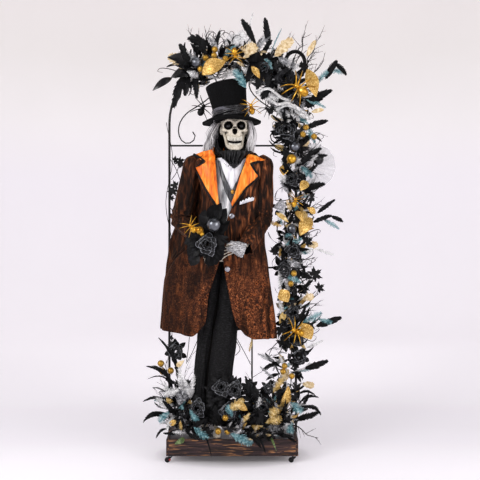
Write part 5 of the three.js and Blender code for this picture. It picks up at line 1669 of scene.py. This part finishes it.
def bouquet():
    """The right hand's bouquet: a silver-edged rose among petals and leaves, a spider and three balls."""
    bunch = Cluster(25)
    rng = bunch.rng
    middle = vec(-112, -262, 1034)
    bunch.rose(-110, -284, 1012, 55, 1, unit(vec(0.05, -1, 0.12)))
    for k in range(40):
        a = k * 2.4
        out = vec(math.cos(a), -0.1, math.sin(a))
        kind, tint, wide = (("leaf", T_SATIN, 0.5), ("leaf", T_LEAF, 0.4), ("feather", T_BLACK, 0.3),
            ("star", T_LEAF, 1))[k % 4]
        length = rng.uniform(50, 78)
        base = middle + out * rng.uniform(8, 30) + vec(0, rng.uniform(0, 24), 0)
        bunch.put(kind, tint, base, base + (out + vec(0, rng.normal() * 0.15, 0)) * length, length * wide)
    for x, z, tx, tz, width in ((-90, 1110, -48, 1200, 56), (-70, 1100, -24, 1176, 60),
            (-100, 1120, -74, 1196, 50), (-70, 1070, -10, 1120, 52), (-90, 970, -66, 926, 56),
            (-110, 966, -84, 920, 50), (-66, 990, -46, 946, 46)):
        bunch.put("leaf", T_SATIN, (x, -266, z), (tx, -262, tz), width, FRONT, 0.1)
    for x, z, tx, tz, width in ((-150, 1010, -196, 960, 60), (-160, 1040, -212, 1020, 50),
            (-150, 980, -184, 920, 56), (-130, 1100, -120, 1170, 44)):
        bunch.put("leaf", T_LEAF, (x, -262, z), (tx, -254, tz), width, FRONT, 0.12)
    bunch.spider(-178, 1092, 88, -296, (-0.5, 0, 0.7))
    bunch.ball(-142, -292, 1078, 17, 0)
    bunch.ball(-132, -290, 1062, 10, 0)
    bunch.ball(-80, -288, 1102, 32, 2)
    for k in range(5):
        bunch.twigs.add(tube(curve([(-112 + 4 * k, -250, 1020), (-116 + 4 * k, -214, 1000),
            (-118 + 3 * k, -206, 930 - 6 * k)], 9), 2.0, 5))
    bunch.make("hand_bouquet", "forearm_right", "bouquet")


def trellis_vine():
    """Thin wire stems and black leaves twined about the right post, and loose wires behind the legs."""
    rng = np.random.default_rng(31)
    s = Soup()
    post = -311
    stem = [(post + 16 * math.sin(z / 70), 42 + 8 * math.cos(z / 60), z) for z in range(470, 1640, 30)]
    s.add(tube(curve(stem, 160), 1.6, 5), 1)
    for x, z, tx, tz in ((post, 1440, -258, 1330), (-300, 1330, -262, 1400), (post, 1200, -280, 1140)):
        s.add(tube(curve([(x, 46, z), ((x + tx) / 2 + 6, 40, (z + tz) / 2), (tx, 40, tz)], 12), 1.8, 5), 1)
    for x, z, size in ((-262, 1420, 62), (-284, 1424, 50), (-246, 1408, 46), (-276, 1300, 60),
            (-290, 1278, 62), (-268, 1268, 48), (-284, 1168, 46), (-296, 1150, 40), (-300, 1240, 36),
            (-300, 520, 40), (-296, 560, 34)):
        turn = rng.uniform(0, TAU)
        s.add(star_leaf(vec(x, 30, z), vec(math.cos(turn), 0, math.sin(turn)), vec(0, -1, 0.2), size), 0)
    for wire in (((16, 44, 560), (60, 44, 480), (88, 46, 425)),
            ((18, 44, 540), (36, 40, 500), (14, 40, 470)), ((-212, 44, 560), (-218, 44, 500),
            (-226, 44, 440)), ((-166, 44, 560), (-200, 44, 480), (-228, 44, 430))):
        s.add(tube(curve(wire, 16), 1.8, 5), 1)
    s.piece("trellis_vine", "display", [LEAF, BARK], "petals")


def brake_button():
    """The small red button on the front right caster's fork."""
    low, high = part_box("caster_fork_front_right")
    at = (np.array(low + high) / 2 - ORIGIN) / MM
    top = (low.y - ORIGIN[1]) / MM
    dome = [(0.4, 3.2), (3.2, 3.0), (4.6, 1.8), (4.8, 0)]
    s = Soup().add(lathe(dome, 16, (at[0] + 3, top - 0.2, at[2] - 2), spin("x", 90)))
    s.piece("brake_button", body_of(frame["nodes"]["caster_fork_front_right"])[0], [RED_PLASTIC],
        "zinc_steel")


side_garland()
top_garland()
base_flowers()
bouquet()
trellis_vine()
brake_button()
